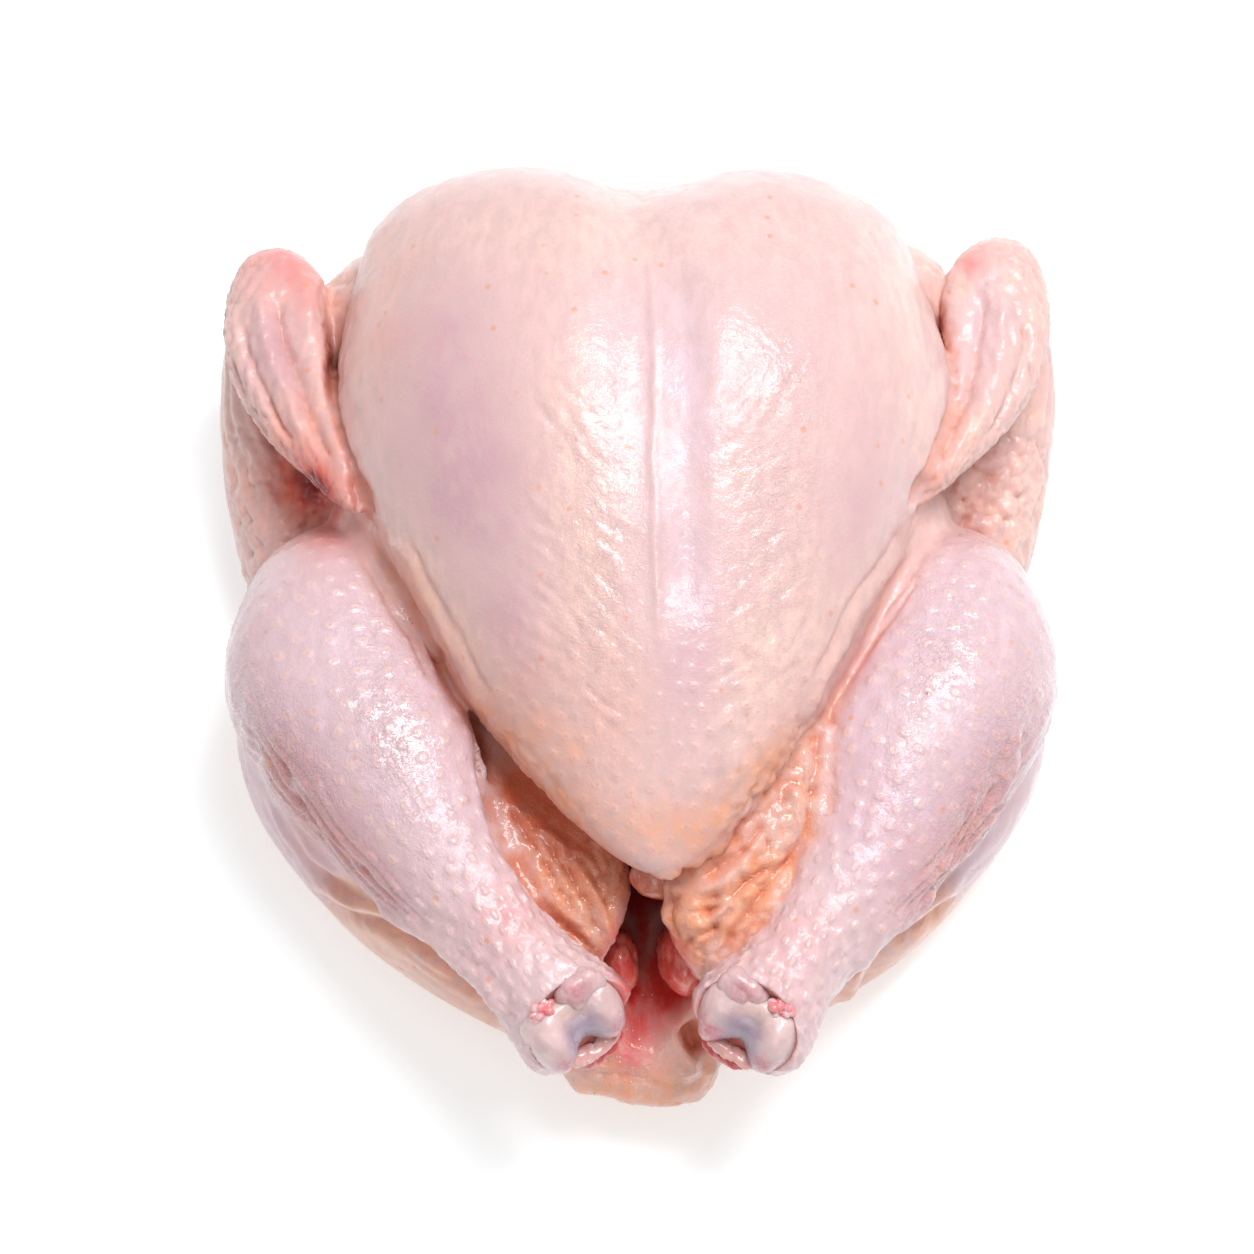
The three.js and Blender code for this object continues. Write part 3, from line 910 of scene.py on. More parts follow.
def arm_folds(points, normals, place):
    """Nubs of fat in clusters, and ridges along the arm between them."""
    ridges = folds(place["angle"] * 11 + place["run"] * 0.25, 4.4, 1.8 * noise(points, 10, 63))
    mix = smooth(noise(points, 18, 65), -0.5, 0.3)
    y = points[:, 1]
    beads = smooth(y, 8, 20) * (1 - smooth(y, 52, 64)) * smooth(normals[:, 2], 0.0, 0.5)
    height = 0.9 * curds(points, 4.8, 61) * mix + 0.6 * ridges * (1 - mix)
    return height + 0.9 * curds(points, 3.8, 67) * beads


def left_flap_folds(points, normals, place):
    """Long soft folds down the flap, crossed by finer ones, with a grain of small beads."""
    along = points[:, 1] * 0.35 - points[:, 0] * 0.94
    wavy = 2.6 * noise(points, 11, 71) + 1.1 * noise(points, 4.5, 72)
    fine = folds(points[:, 1] * 0.8 + points[:, 0] * 0.5, 1.9, 2.5 * noise(points, 5, 73))
    height = 0.7 * folds(along, 6.4, wavy) + 0.7 * curds(points, 4.6, 74, (1.0, 0.6, 0.8))
    return height + 0.2 * fine + 0.35 * lobules(points, 1.9, 78)


def right_flap_folds(points, normals, place):
    """Winding rolls of fat: the size of a bent noise has round crests and thin valleys."""
    bent = points + 2.5 * np.stack([rough(points, 9, 85 + k) for k in range(3)], 1)
    rolls = np.abs(noise(bent, 6.4, 75)) + 0.45 * np.abs(noise(bent, 3.2, 76)) - 0.35
    return 2.7 * rolls + 0.6 * curds(points, 5.2, 77, (0.8, 0.9, 0.8))


def tail_folds(points, normals, place):
    """Clumps of fat drawn out along the tail."""
    return 0.8 * curds(points, 8.5, 79, (1.0, 0.55, 1.0)) + 0.3 * curds(points, 3.2, 80)


def neck_folds(points, normals, place):
    """Loose folds over the neck's opening."""
    return 0.6 * folds(place["angle"] * 16, 6, 2.2 * noise(points, 16, 81))


def back_folds(points, normals, place):
    """Bumps round the back's follicles, and a slow unevenness."""
    u, v = points[:, 0] * WIDER_SET, points[:, 1] * WIDER_SET
    return 0.35 * follicle_bumps(u, v, 0.24) + 0.3 * noise(points, 9, 83)


def on_both_sides(part, value):
    """The same function or number for a limb on the left and on the right."""
    return {part + "_" + name: value for name in OUT}


FOLDS = {
    "breast": breast_folds,
    **on_both_sides("drumstick", drumstick_folds),
    **on_both_sides("thigh", thigh_folds),
    **on_both_sides("hand", hand_folds),
    **on_both_sides("forearm", arm_folds),
    **on_both_sides("wing_web", arm_folds),
    **on_both_sides("upper_arm", arm_folds),
    "flap_left": left_flap_folds,
    "flap_right": right_flap_folds,
    "tail": tail_folds,
    "neck_flap": neck_folds,
    "back": back_folds,
}


def seam_of(place):
    """1 where a place and its neighbours have equal shares of the skin, and 0 where it has all or none."""
    return 4 * place["share"] * (1 - place["share"])


def relief(points, normals, places, sizes):
    """Heights in millimetres that move each point along its normal: each place's folds by its share, and a
    furrow where each hand's free end meets what it lies on."""
    height = 0.45 * rough(points, 22, 3, 2) + carved(points, normals)
    for name in OUT:
        hand = places["hand_" + name]
        edge = seam_of(hand) * smooth(hand["run"], 25, 45)
        height -= 1.8 * edge**2 * smooth(normals[:, 2], -0.2, 0.3)
    for name, work in FOLDS.items():
        here = places[name]["share"] > 0.02
        local = {key: value[here] for key, value in places[name].items()}
        height[here] += work(points[here], normals[here], local) * local["share"]
    return sizes.folds * height * (1 - 0.8 * places["cavity"]["share"])


# How much of the tightening each place takes: little round the flaps and hands, which are crisp, and all
# of it where none is given.
TIGHTNESS = {
    "breast": 0.2,
    "tail": 0.2,
    "cavity": 0.2,
    "neck_flap": 0.5,
    **on_both_sides("flap", 0.05),
    **on_both_sides("hand", 0.04),
    **on_both_sides("forearm", 0.25),
    **on_both_sides("wing_web", 0.2),
    **on_both_sides("upper_arm", 0.4),
    **on_both_sides("flank", 0.3),
    **on_both_sides("drumstick", 0.25),
}


def tightness(places):
    """Each point's share of the tightening, from the places that it belongs to."""
    return sum(place["share"] * TIGHTNESS.get(name, 1.0) for name, place in places.items())


# ---- Building the skin ----


def body_surfaces():
    """The closed surfaces that are fused into the chicken's skin."""
    surfaces = [
        torso(BACK, 2.7, 0.12),
        torso(BREAST, 2.25, 0.14, breast_relief),
        limb(TAIL, ACROSS),
        limb(NECK_FLAP, LENGTHWISE),
        limb(LEFT_FLAP, ACROSS, squareness=2.4),
        limb(RIGHT_FLAP, ACROSS, squareness=2.4),
    ]
    for name, out in OUT.items():
        surfaces += [
            limb(mirrored(DRUMSTICK[name], out), (out, SLANT, 0), cap=0.14),
            limb(mirrored(THIGH, out), (out, -SLANT, 0)),
            limb(mirrored(BEND, out), (out, -SLANT, 0), cap=0.3),
            limb(mirrored(FLANK, out), ACROSS),
            *(limb(mirrored(stations, out, WING_SHIFT[name]), ACROSS) for stations in WING.values()),
        ]
    return surfaces


class Hock:
    """Where a hock is, and the ways about it: out of the cut face, along the spool and up the face."""

    def __init__(self, name):
        spec = HOCKS[name]
        heading = math.radians(spec["heading"])
        tilt = math.radians(FACE["tilt"])
        forward = np.array([math.cos(heading), math.sin(heading), 0.0])
        up = np.array([0.0, 0.0, 1.0])
        self.centre = np.array(spec["centre"], float)
        self.face = forward * math.cos(tilt) + up * math.sin(tilt)
        self.rise = up * math.cos(tilt) - forward * math.sin(tilt)
        self.axis = np.cross(self.rise, self.face)
        self.half = spec["length"] / 2

    def place(self, points):
        """Millimetres along the spool, up the face and out of it."""
        offset = points - self.centre
        return offset @ self.axis, offset @ self.rise, offset @ self.face

    def at(self, along, up, out):
        """The point this many millimetres along the spool, up the face and out of it."""
        return self.centre + along * self.axis + up * self.rise + out * self.face


HOCK_AT = {name: Hock(name) for name in HOCKS}


def cut_faces(points):
    """Presses each leg's end back to a dish with a wrinkled lip of skin round the bare bone."""
    for hock in HOCK_AT.values():
        along, up, out = hock.place(points)
        near = np.linalg.norm(points - hock.centre, axis=1) < 25
        share = np.hypot(along / FACE["half_width"], up / FACE["half_height"])
        turn = np.arctan2(up, along)
        lip = 1.3 + 0.35 * np.sin(5 * turn) + 0.25 * np.sin(11 * turn + 2)
        dish = 1.6 + 1.2 * smooth(-up, 3, 9)
        depth = FACE["depth"] + lip * smooth(share, 0.78, 0.92) - dish * (1 - smooth(share, 0.6, 0.86))
        points -= (np.maximum(0, out - depth) * near)[:, None] * hock.face
    return points


def cut_out(made, name, surfaces):
    """Takes closed surfaces away from an object."""
    blade = joined_mesh(name, surfaces)
    cut = made.modifiers.new(name, "BOOLEAN")
    cut.operation = "DIFFERENCE"
    cut.solver = "MANIFOLD"
    cut.object = blade
    with_modifiers(made)
    bpy.data.objects.remove(blade)


def build_skin(sizes):
    """Fuses the surfaces on a fine grid, cuts the hollows, relaxes the creases, carves the relief and thins
    the mesh."""
    skin = joined_mesh("chicken_skin", body_surfaces())
    fuse = skin.modifiers.new("fuse", "REMESH")
    fuse.mode = "VOXEL"
    fuse.voxel_size = sizes.voxel
    with_modifiers(skin)
    cut_out(skin, "cavity", [limb(CAVITY, ACROSS)])
    cut_out(skin, "gaps", [limb(gap, ACROSS, around=36, along=60) for gap in (LEFT_GAP, RIGHT_GAP)])
    places = places_on_body(points_of(skin.data))
    relax(skin, tightness(places), sizes.tightening)
    points = points_of(skin.data)
    normals = normals_of(skin.data)
    points += relief(points, normals, places, sizes)[:, None] * normals
    points = cut_faces(points)
    points[:, 2] = np.maximum(points[:, 2], 0)
    set_points(skin.data, points)
    thin = skin.modifiers.new("thin", "DECIMATE")
    thin.ratio = sizes.triangles / sum(len(face.vertices) - 2 for face in skin.data.polygons)
    with_modifiers(skin)
    paint_skin(skin)
    return skin


# ---- The skin's masks ----

# Soft patches in the picture plane: the mask, the start of the names of the places that it keeps to, its
# strength, middle x and y, half-width, half-height and turn in degrees. They lie on upward skin only.
# Patches of the dark fold tone are painted shade, and on the flaps a painted shadow of the breast's edges.
PATCHES = [
    ("lilac", "", 0.90, -39, 36, 14, 33, -12),
    ("lilac", "", 0.50, -30, -4, 8, 22, -24),
    ("lilac", "", 0.35, -46, 72, 16, 14, 0),
    ("lilac", "", 0.55, 57, 30, 8, 26, 14),
    ("lilac", "", 0.30, 34, 70, 16, 14, 0),
    ("pearl", "", 0.75, 14, 42, 7, 48, 0),
    # Along the right of the keel's lower half: partly muscle under thin skin, partly painted shade in the
    # keel's groove.
    ("lilac", "", 0.90, 16, -6, 8, 22, 0),
    ("pearl", "", 0.40, -4, 60, 8, 30, 0),
    ("fat", "", 0.70, -12, 30, 8, 40, -4),
    ("fat", "", 0.60, 34, -8, 11, 30, 22),
    ("fat", "", 0.35, -66, 72, 8, 36, 16),
    ("blush", "breast", 0.14, -66, 66, 9, 40, 16),
    ("peach", "breast", 0.20, -64, 70, 8, 36, 16),
    ("fat", "", 0.60, 71, 66, 8, 36, -14),
    ("fat", "", 1.00, -48, 8, 6, 22, -34),
    ("peach", "", 0.30, -50, 6, 6, 22, -32),
    # Painted shade in the furrow beside the taut fold on the left.
    ("crease_shade", "", 0.40, -53, 6.5, 2.2, 16, -28),
    ("fat", "", 0.60, 59, 8, 5, 18, 34),
    ("peach", "", 0.20, 60, 6, 5, 20, 34),
    ("fat", "", 0.45, 0, 96, 44, 8, 0),
    ("crepe", "", 0.60, -7, 24, 8, 46, 0),
    ("crepe", "", 0.60, 36, 34, 10, 46, 4),
    ("crepe", "drumstick", 0.80, -57, -26, 10, 34, -20),
    ("crepe", "drumstick", 1.00, -84, -36, 9, 34, -26),
    ("crepe", "drumstick", 0.80, 76, -12, 10, 34, 16),
    ("crepe", "drumstick", 0.90, 92, -34, 8, 34, 24),
    ("lilac", "drumstick", 0.80, 62, -48, 10, 18, -24),
    ("blush", "drumstick", 0.10, 62, -48, 9, 16, -24),
    # Painted shade in the fold between the left drumstick and the thigh: the dark fold tone, and much of
    # the lilac.
    ("crease_shade", "", 0.30, -78, -54, 3.5, 14, -32),
    ("lilac", "", 0.80, -78, -54, 5, 16, -32),
    ("peach", "breast", 0.95, -24, -36, 5, 26, -40),
    ("peach", "", 0.45, 8, -50, 15, 8, 0),
    ("peach", "breast", 0.70, 33, -36, 5, 20, 40),
    ("peach", "", 0.40, -14, -26, 16, 18, 30),
    ("blush", "hand", 0.95, -84, 90, 9, 7, 0),
    ("blush", "hand", 0.30, -78, 80, 4, 6, -12),
    # The left hand strongly lilac and the right hand pale pearl: partly their own tones, partly painted
    # shade on the left hand and painted light on the right.
    ("lilac", "hand", 1.00, -86, 68, 9, 17, -14),
    ("pearl", "hand", 0.80, 86, 74, 8, 18, 8),
    ("blush", "hand", 0.80, 84, 88.5, 2.6, 2.2, 0),
    ("peach", "hand", 0.35, 74, 42, 4, 12, 18),
    ("blush", "", 0.35, -68, 37, 3.5, 13, -19),
    ("blush", "hand", 0.25, 84, 92, 8, 4, 0),
    ("blush", "", 0.20, 75, 38, 3.5, 14, 22),
    ("blush", "", 0.35, -30, -72, 8, 6, 40),
    ("blush", "", 0.30, 41, -76, 8, 6, -40),
    # The pit under the left wing: the dark fold tone and the flesh tone over it are both painted shade.
    ("crease_shade", "", 0.90, -79, 33, 7, 13, -14),
    ("flesh", "", 1.00, -77, 34, 5.5, 10, -24),
    # The hollow under the right wing: the dark fold tone is painted shade, and the lilac is partly muscle
    # and partly painted shade.
    ("crease_shade", "", 0.25, 86, 32, 5, 12, 14),
    ("lilac", "", 1.00, 86, 32, 6, 13, 14),
    ("flesh", "", 0.60, 2, -88, 5, 10, 0),
    ("blush", "", 0.95, 1.5, -103, 3.2, 6, 20),
    ("flesh", "", 0.45, 1.0, -101, 2.4, 5, 20),
    ("blush", "", 0.45, 8, -93, 7, 5, 0),
    # Painted shade in the pit at the tail's right.
    ("crease_shade", "", 0.90, 17, -102, 2.6, 4, -30),
    # Painted shadow of the breast's edges on the flaps below them.
    ("crease_shade", "flap", 0.85, -20, -46, 7, 24, -42),
    ("crease_shade", "flap", 0.50, -30, -38, 7, 16, -20),
    ("crease_shade", "flap", 0.45, 28, -50, 4, 18, 42),
]
# The masks, as they are stored on the skin by threes.
STORED = {
    "tones": ("lilac", "fat", "blush"),
    "depths": ("peach", "crease_shade", "flesh"),
    "shine": ("pearl", "wet", "crepe"),
}


def patch_masks(masks, points, places, upper):
    """Adds every patch: a flattened bell over its turned oval, uneven at the edge."""
    seen = in_view(points)
    wobble = 1 + 0.45 * rough(points, 15, 101)
    for mask, kept_to, strength, x, y, half_width, half_height, turn in PATCHES:
        c, s = math.cos(math.radians(turn)), math.sin(math.radians(turn))
        a = ((seen[:, 0] - x) * c - (seen[:, 1] - y) * s) / half_width
        b = ((seen[:, 0] - x) * s + (seen[:, 1] - y) * c) / half_height
        within = np.exp(-((a * a + b * b) ** 0.8)) * wobble
        here = sum(place["share"] for name, place in places.items() if name.startswith(kept_to))
        masks[mask] += strength * np.clip(within, 0, 1) * upper * here


def leg_masks(masks, points, places, name, patchy):
    """Adds the muscle under a drumstick's skin, its pearly ankle and its darker outer side, which is partly
    lilac muscle and partly painted shade in its folds, and the thigh's fat, which muscle covers only at the
    top."""
    leg = places["drumstick_" + name]
    over = smooth(leg["run"], 4, 26) * (1 - smooth(leg["run"], 96, 124))
    # Paler pearl and less lilac over the drumstick's top: partly the skin's own tone, partly a painted
    # sheen where the light falls on it.
    high = smooth(leg["angle"], 0.5, 1.3)
    masks["lilac"] += leg["share"] * over * (0.55 - 0.3 * high + 0.3 * patchy)
    masks["pearl"] += leg["share"] * over * (0.4 + 0.3 * high)
    ankle = leg["share"] * smooth(leg["run"], 96, 122)
    masks["blush"] += ankle * 0.1 * patchy
    masks["pearl"] += ankle * 0.6
    masks["fat"] += ankle * 0.15
    # The outer lower side: more lilac, less pearl and some dark fold tone, partly the muscle's own tone and
    # partly painted shade in its folds.
    outer_lilac_and_shade = np.exp(-(((leg["angle"] - 0.1) / 0.45) ** 2)) * smooth(leg["run"], 45, 65)
    outer_lilac_and_shade = outer_lilac_and_shade * (1 - smooth(leg["run"], 95, 125)) * leg["share"]
    masks["lilac"] += outer_lilac_and_shade * 0.6
    masks["pearl"] -= outer_lilac_and_shade * 0.6
    masks["crease_shade"] += outer_lilac_and_shade * 0.3 * patchy
    thigh = places["thigh_" + name]["share"] + places["bend_" + name]["share"]
    seen = in_view(points)
    edge = 7 * rough(points, 16, 113)
    covered = smooth(seen[:, 1] + 0.4 * np.abs(seen[:, 0]) + edge, -44, -26)
    covered = covered * smooth(points[:, 2] + edge, 6, 26)
    # Below the drumstick the thigh's skin is cream fat and peach; the peach is partly the fat's own tone
    # and partly painted shade under the drumstick.
    masks["fat"] += thigh * (1 - covered) * (0.35 + 0.5 * patchy)
    masks["peach"] += thigh * (1 - covered) * (0.24 + 0.25 * (1 - patchy))
    masks["lilac"] += thigh * (0.3 + 0.4 * covered)
    masks["pearl"] += thigh * covered * 0.6


def wing_masks(masks, places, name, patchy, upper):
    """Adds a wing's fat, which gives way to what is pale or dark already, its redness and its web, and the
    painted shade round the hand's edge."""
    share = {part: places[part + "_" + name]["share"] for part in (*WING, "flank")}
    hand = places["hand_" + name]
    bare = 1 - 0.8 * np.clip(np.maximum(masks["lilac"], masks["pearl"]), 0, 1)
    masks["fat"] += share["hand"] * (0.35 + 0.4 * patchy) * bare
    masks["blush"] += share["hand"] * 0.05
    # Painted shade along the hand's edge, where it meets what it lies on.
    masks["crease_shade"] += 0.2 * seam_of(hand) ** 3 * smooth(hand["run"], 10, 25) * upper
    masks["fat"] += share["forearm"] * (0.3 + 0.5 * patchy) * bare
    masks["blush"] += share["forearm"] * 0.12 * (1 - patchy)
    masks["lilac"] += share["wing_web"] * 0.6
    masks["peach"] += share["wing_web"] * 0.2
    masks["fat"] += share["upper_arm"] * (0.4 + 0.4 * patchy)
    masks["fat"] += share["flank"] * 0.3


def fat_masks(masks, points, normals, share, patchy):
    """Adds the fat of the flaps, tail, back, neck and the breast's underside."""
    masks["peach"] += share["flap_left"] * (0.45 + 0.4 * smooth(points[:, 0], -34, -10))
    masks["peach"] += share["flap_right"] * (0.85 - 0.5 * smooth(in_view(points)[:, 1], -66, -40))
    masks["peach"] += share["tail"] * 0.65
    masks["fat"] += share["flap_left"] * 0.5 + share["flap_right"] * 0.55 + share["tail"] * 0.6
    masks["fat"] += share["back"] * (0.35 + 0.4 * patchy) + share["neck_flap"] * 0.6
    masks["peach"] += share["neck_flap"] * 0.2 + share["back"] * 0.12
    masks["fat"] += smooth(-normals[:, 2], 0.2, 0.8) * share["breast"] * 0.4


def shade_flesh_and_blood_masks(masks, points, share, hollow):
    """Adds the tones of every hollow: the dark fold tone, which is painted shade, and peach, which is
    partly the fat's own tone and partly painted shade. Adds too the flesh inside the cavity and the blood
    on the cut faces.
    """
    # Painted shade in the hollows: the dark fold tone, and peach that is partly the fat's own tone.
    masks["crease_shade"] += share["flap_right"] * smooth(hollow, 0.08, 0.45) * 0.25
    masks["crease_shade"] += share["flap_left"] * smooth(hollow, 0.08, 0.45) * 0.35
    fatty = share["flap_left"] + share["flap_right"] + share["tail"]
    masks["peach"] += smooth(hollow, 0.08, 0.55) * (0.15 + 0.4 * fatty)
    masks["crease_shade"] += smooth(hollow, 0.3, 1.2) * (0.3 + 0.4 * np.clip(masks["peach"], 0, 1))
    inner = share["cavity"] * smooth(points[:, 1], -100, -84)
    masks["flesh"] += inner * 0.96
    masks["blush"] += (share["cavity"] - inner) * 0.35
    for hock in HOCK_AT.values():
        along, up, out = hock.place(points)
        across = np.hypot(along / FACE["half_width"], up / FACE["half_height"])
        exposed = (1 - smooth(across, 0.74, 0.9)) * smooth(out, -6, -1)
        masks["flesh"] += exposed * smooth(-up, 4, 9) * 0.5 * smooth(rough(points, 5, 151), -0.4, 0.6)
        masks["blush"] += exposed * 0.15


def skin_masks(points, normals, places, hollow):
    """How much of each tone every point of the skin has, from 0 to 1."""
    masks = {name: np.zeros(len(points)) for names in STORED.values() for name in names}
    share = {name: place["share"] for name, place in places.items()}
    upper = smooth(normals @ TOWARDS_CAMERA, -0.1, 0.3) * smooth(points[:, 2], 16, 24)
    patchy = smooth(rough(points, 24, 111), -0.7, 0.9)
    patch_masks(masks, points, places, upper)
    for name in OUT:
        leg_masks(masks, points, places, name, patchy)
        wing_masks(masks, places, name, patchy, upper)
    fat_masks(masks, points, normals, share, patchy)
    shade_flesh_and_blood_masks(masks, points, share, hollow)
    fatty = share["flap_left"] + share["flap_right"] + share["tail"]
    masks["wet"] += 0.3 + 0.5 * fatty + 0.7 * share["cavity"]
    masks["crepe"] += 0.12 + 0.25 * fatty
    return {name: np.clip(value, 0, 1) for name, value in masks.items()}


def paint_skin(skin):
    """Stores the masks and the pattern coordinates on the skin's vertices for its material. A point is as
    hollow as the blurred surface lies outside it, in millimetres."""
    mesh = skin.data
    points = points_of(mesh)
    normals = normals_of(mesh)
    places = places_on_body(points)
    hollow = ((Net(mesh).spread(points, 12) - points) * normals).sum(1)
    masks = skin_masks(points, normals, places, hollow)
    for kept, names in STORED.items():
        store(mesh, kept, [masks[name] for name in names])
    store(mesh, "follicles", follicle_places(points, normals, places))


def follicle_places(points, normals, places):
    """The two pattern coordinates of the follicles, in millimetres, and how plainly they show."""
    u = points[:, 0] * WIDER_SET
    v = points[:, 1] * WIDER_SET
    plain = 0.5 * places["back"]["share"]
    breast = places["breast"]
    on_breast = breast["share"] > 0.5
    breast_u, breast_v, shown = breast_lattice(points, normals)
    u = np.where(on_breast, breast_u, u)
    v = np.where(on_breast, breast_v, v)
    plain = np.where(on_breast, shown * smooth(breast["share"], 0.5, 0.8), plain)
    for name in OUT:
        for part, strength in (("drumstick", 1.0), ("thigh", 0.5), ("forearm", 0.4)):
            place = places[part + "_" + name]
            mine = place["share"] > 0.5
            u = np.where(mine, place["run"], u)
            v = np.where(mine, place["angle"] * GIRTH[part], v)
            plain = np.where(mine, strength * smooth(place["share"], 0.5, 0.85), plain)
    return [u, v, plain]


def store(mesh, name, columns):
    """Keeps three numbers for every vertex as a vector attribute."""
    kept = mesh.attributes.new(name, "FLOAT_VECTOR", "POINT")
    kept.data.foreach_set("vector", np.stack(columns, 1).astype(np.float32).ravel())


# ---- Shader nodes ----


def add(tree, kind, inputs=None, **settings):
    """A node with its settings, whose inputs are given by name or number, as values or sockets."""
    made = tree.nodes.new("ShaderNode" + kind)
    for name, value in settings.items():
        setattr(made, name, value)
    feed(tree, made, inputs or {})
    return made


def feed(tree, node, inputs):
    """Links sockets to a node's inputs and sets the others to the values given."""
    for key, value in inputs.items():
        socket = node.inputs[key]
        if isinstance(value, bpy.types.NodeSocket):
            tree.links.new(value, socket)
        elif socket.type == "RGBA" and len(value) == 3:
            socket.default_value = (*value, 1)
        else:
            socket.default_value = value


def maths(tree, operation, *values, clamp=False):
    """The result of a Math node over numbers and sockets."""
    return add(tree, "Math", dict(enumerate(values)), operation=operation, use_clamp=clamp).outputs[0]


def mixed(tree, share, first, second):
    """Two colours mixed by a share. A Mix node has its colours at inputs 6 and 7 and at output 2."""
    return add(tree, "Mix", {0: share, 6: first, 7: second}, data_type="RGBA").outputs[2]


def ranged(tree, value, low, high, to_low=0.0, to_high=1.0):
    """A value carried smoothly from one range to another."""
    inputs = {"Value": value, "From Min": low, "From Max": high, "To Min": to_low, "To Max": to_high}
    return add(tree, "MapRange", inputs, interpolation_type="SMOOTHSTEP").outputs["Result"]


def noise_node(tree, vector, scale, detail=3.0, roughness=0.55, distortion=0.0):
    """Noise from 0 to 1, with this many cycles to a metre."""
    inputs = {
        "Vector": vector,
        "Scale": scale,
        "Detail": detail,
        "Roughness": roughness,
        "Distortion": distortion,
    }
    return add(tree, "TexNoise", inputs).outputs["Fac"]


def object_place(tree):
    """The place on the object, in metres."""
    return add(tree, "TexCoord").outputs["Object"]


def three_of(tree, name):
    """The three numbers of a vertex attribute."""
    vector = add(tree, "Attribute", attribute_name=name).outputs["Vector"]
    return add(tree, "SeparateXYZ", {0: vector}).outputs


def new_group(name, inputs, outputs):
    """An empty node group with float or vector sockets, and its input and output nodes."""
    tree = bpy.data.node_groups.new(name, "ShaderNodeTree")
    for socket, kind in inputs.items():
        tree.interface.new_socket(socket, in_out="INPUT", socket_type="NodeSocket" + kind)
    for socket, kind in outputs.items():
        tree.interface.new_socket(socket, in_out="OUTPUT", socket_type="NodeSocket" + kind)
    start = tree.nodes.new("NodeGroupInput").outputs
    end = tree.nodes.new("NodeGroupOutput").inputs
    return tree, start, end


def group(tree, held, inputs):
    """The outputs of a node group placed in a tree."""
    made = tree.nodes.new("ShaderNodeGroup")
    made.node_tree = held
    feed(tree, made, inputs)
    return made.outputs


def follicle_distance(tree, across, along):
    """Distance from the nearest follicle's middle in spacings, by the same lattice as follicle_offset."""
    step = FOLLICLE["spacing"] * math.sqrt(2)
    a = maths(tree, "DIVIDE", maths(tree, "ADD", across, along), step)
    b = maths(tree, "DIVIDE", maths(tree, "SUBTRACT", along, across), step)
    i, j = maths(tree, "FLOOR", a), maths(tree, "FLOOR", b)
    squares = []
    for (place, cell), (first, second) in zip(((a, i), (b, j)), FOLLICLE["sines"]):
        phase = maths(tree, "MULTIPLY_ADD", i, first, maths(tree, "MULTIPLY", j, second))
        wander = maths(tree, "MULTIPLY_ADD", maths(tree, "SINE", phase), FOLLICLE["wander"], 0.5)
        offset = maths(tree, "SUBTRACT", maths(tree, "SUBTRACT", place, cell), wander)
        squares.append(maths(tree, "MULTIPLY", offset, offset))
    return maths(tree, "SQRT", maths(tree, "ADD", *squares))


def mottle_group():
    """Uneven tone: a broad noise and one five times finer, drawn out along Y, both from -1 to 1."""
    tree, start, end = new_group(
        "Mottle", {"Place": "Vector", "Size": "Float"}, {"Broad": "Float", "Fine": "Float"}
    )
    scale = maths(tree, "DIVIDE", 1.0, start["Size"])
    broad = noise_node(tree, start["Place"], scale, 2.0, 0.6)
    drawn_out = add(tree, "Mapping", {"Vector": start["Place"], "Scale": (1.0, 0.4, 1.0)}).outputs[0]
    fine = noise_node(tree, drawn_out, maths(tree, "MULTIPLY", scale, 5.0), 3.0, 0.65)
    tree.links.new(ranged(tree, broad, 0.3, 0.7, -1.0, 1.0), end["Broad"])
    tree.links.new(ranged(tree, fine, 0.3, 0.7, -1.0, 1.0), end["Fine"])
    return tree


def mottled(tree, place, size):
    """The broad and the fine mottle of this size in metres, from the group that every material shares."""
    held = bpy.data.node_groups.get("Mottle") or mottle_group()
    made = group(tree, held, {"Place": place, "Size": size})
    return made["Broad"], made["Fine"]


def new_material(name, **sockets):
    """A material whose shader has these constant sockets, with its tree and its shader."""
    made = bpy.data.materials.new(name)
    made.use_nodes = True
    tree = made.node_tree
    shader = tree.nodes["Principled BSDF"]
    for socket, value in sockets.items():
        shader.inputs[socket.replace("_", " ")].default_value = value
    return made, tree, shader


def shaded(tree, tone, mottle, strength):
    """A colour made lighter and darker by this share of a mottle."""
    amount = maths(tree, "MULTIPLY_ADD", mottle, strength, 1.0)
    return add(tree, "HueSaturation", {"Value": amount, "Color": tone}).outputs["Color"]


def bumped(tree, shader, height, distance, sockets=("Normal",), strength=1.0):
    """Feeds a bump of this height, scaled to a distance in metres, to a shader's normals."""
    bump = add(tree, "Bump", {"Strength": strength, "Distance": distance, "Height": height})
    for socket in sockets:
        tree.links.new(bump.outputs[0], shader.inputs[socket])


# The size in metres of each material's mottle, and the cycles to a metre of the skin's other patterns.
MOTTLE = {"skin": 0.016, "cartilage": 0.006, "flesh": 0.007}
CYCLES = {
    "threads": 620.0,
    "cells": 1178.0,
    "stray_pores": 150.0,
    "dry_patches": 130.0,
    "film": 70.0,
    "ripple": 420.0,
}
# How far, in metres, the gaps are looked into for their painted shade, and the ranges of Y over which the
# flesh is painted darker with shade behind the cavity's mouth and a little less so towards its end.
GAP_REACH = 0.008
MOUTH = (-0.082, -0.05)
FAR_END = (-0.03, 0.0)
# The skin's tones in the order in which they are laid: the mask, the colour, and how far the broad and
# the fine mottle vary the mask.
SKIN_TONES = [
    ("lilac", "lilac", 0.35, 0.55),
    ("pearl", "pearl", 0.2, 0.2),
    ("fat", "cream", 0.35, 0.6),
    ("peach", "peach", 0.25, 0.35),
    ("blush", "blush", 0.2, 0.3),
    # The dark fold tone is painted shade.
    ("crease_shade", "crease_shade", 0.1, 0.2),
]


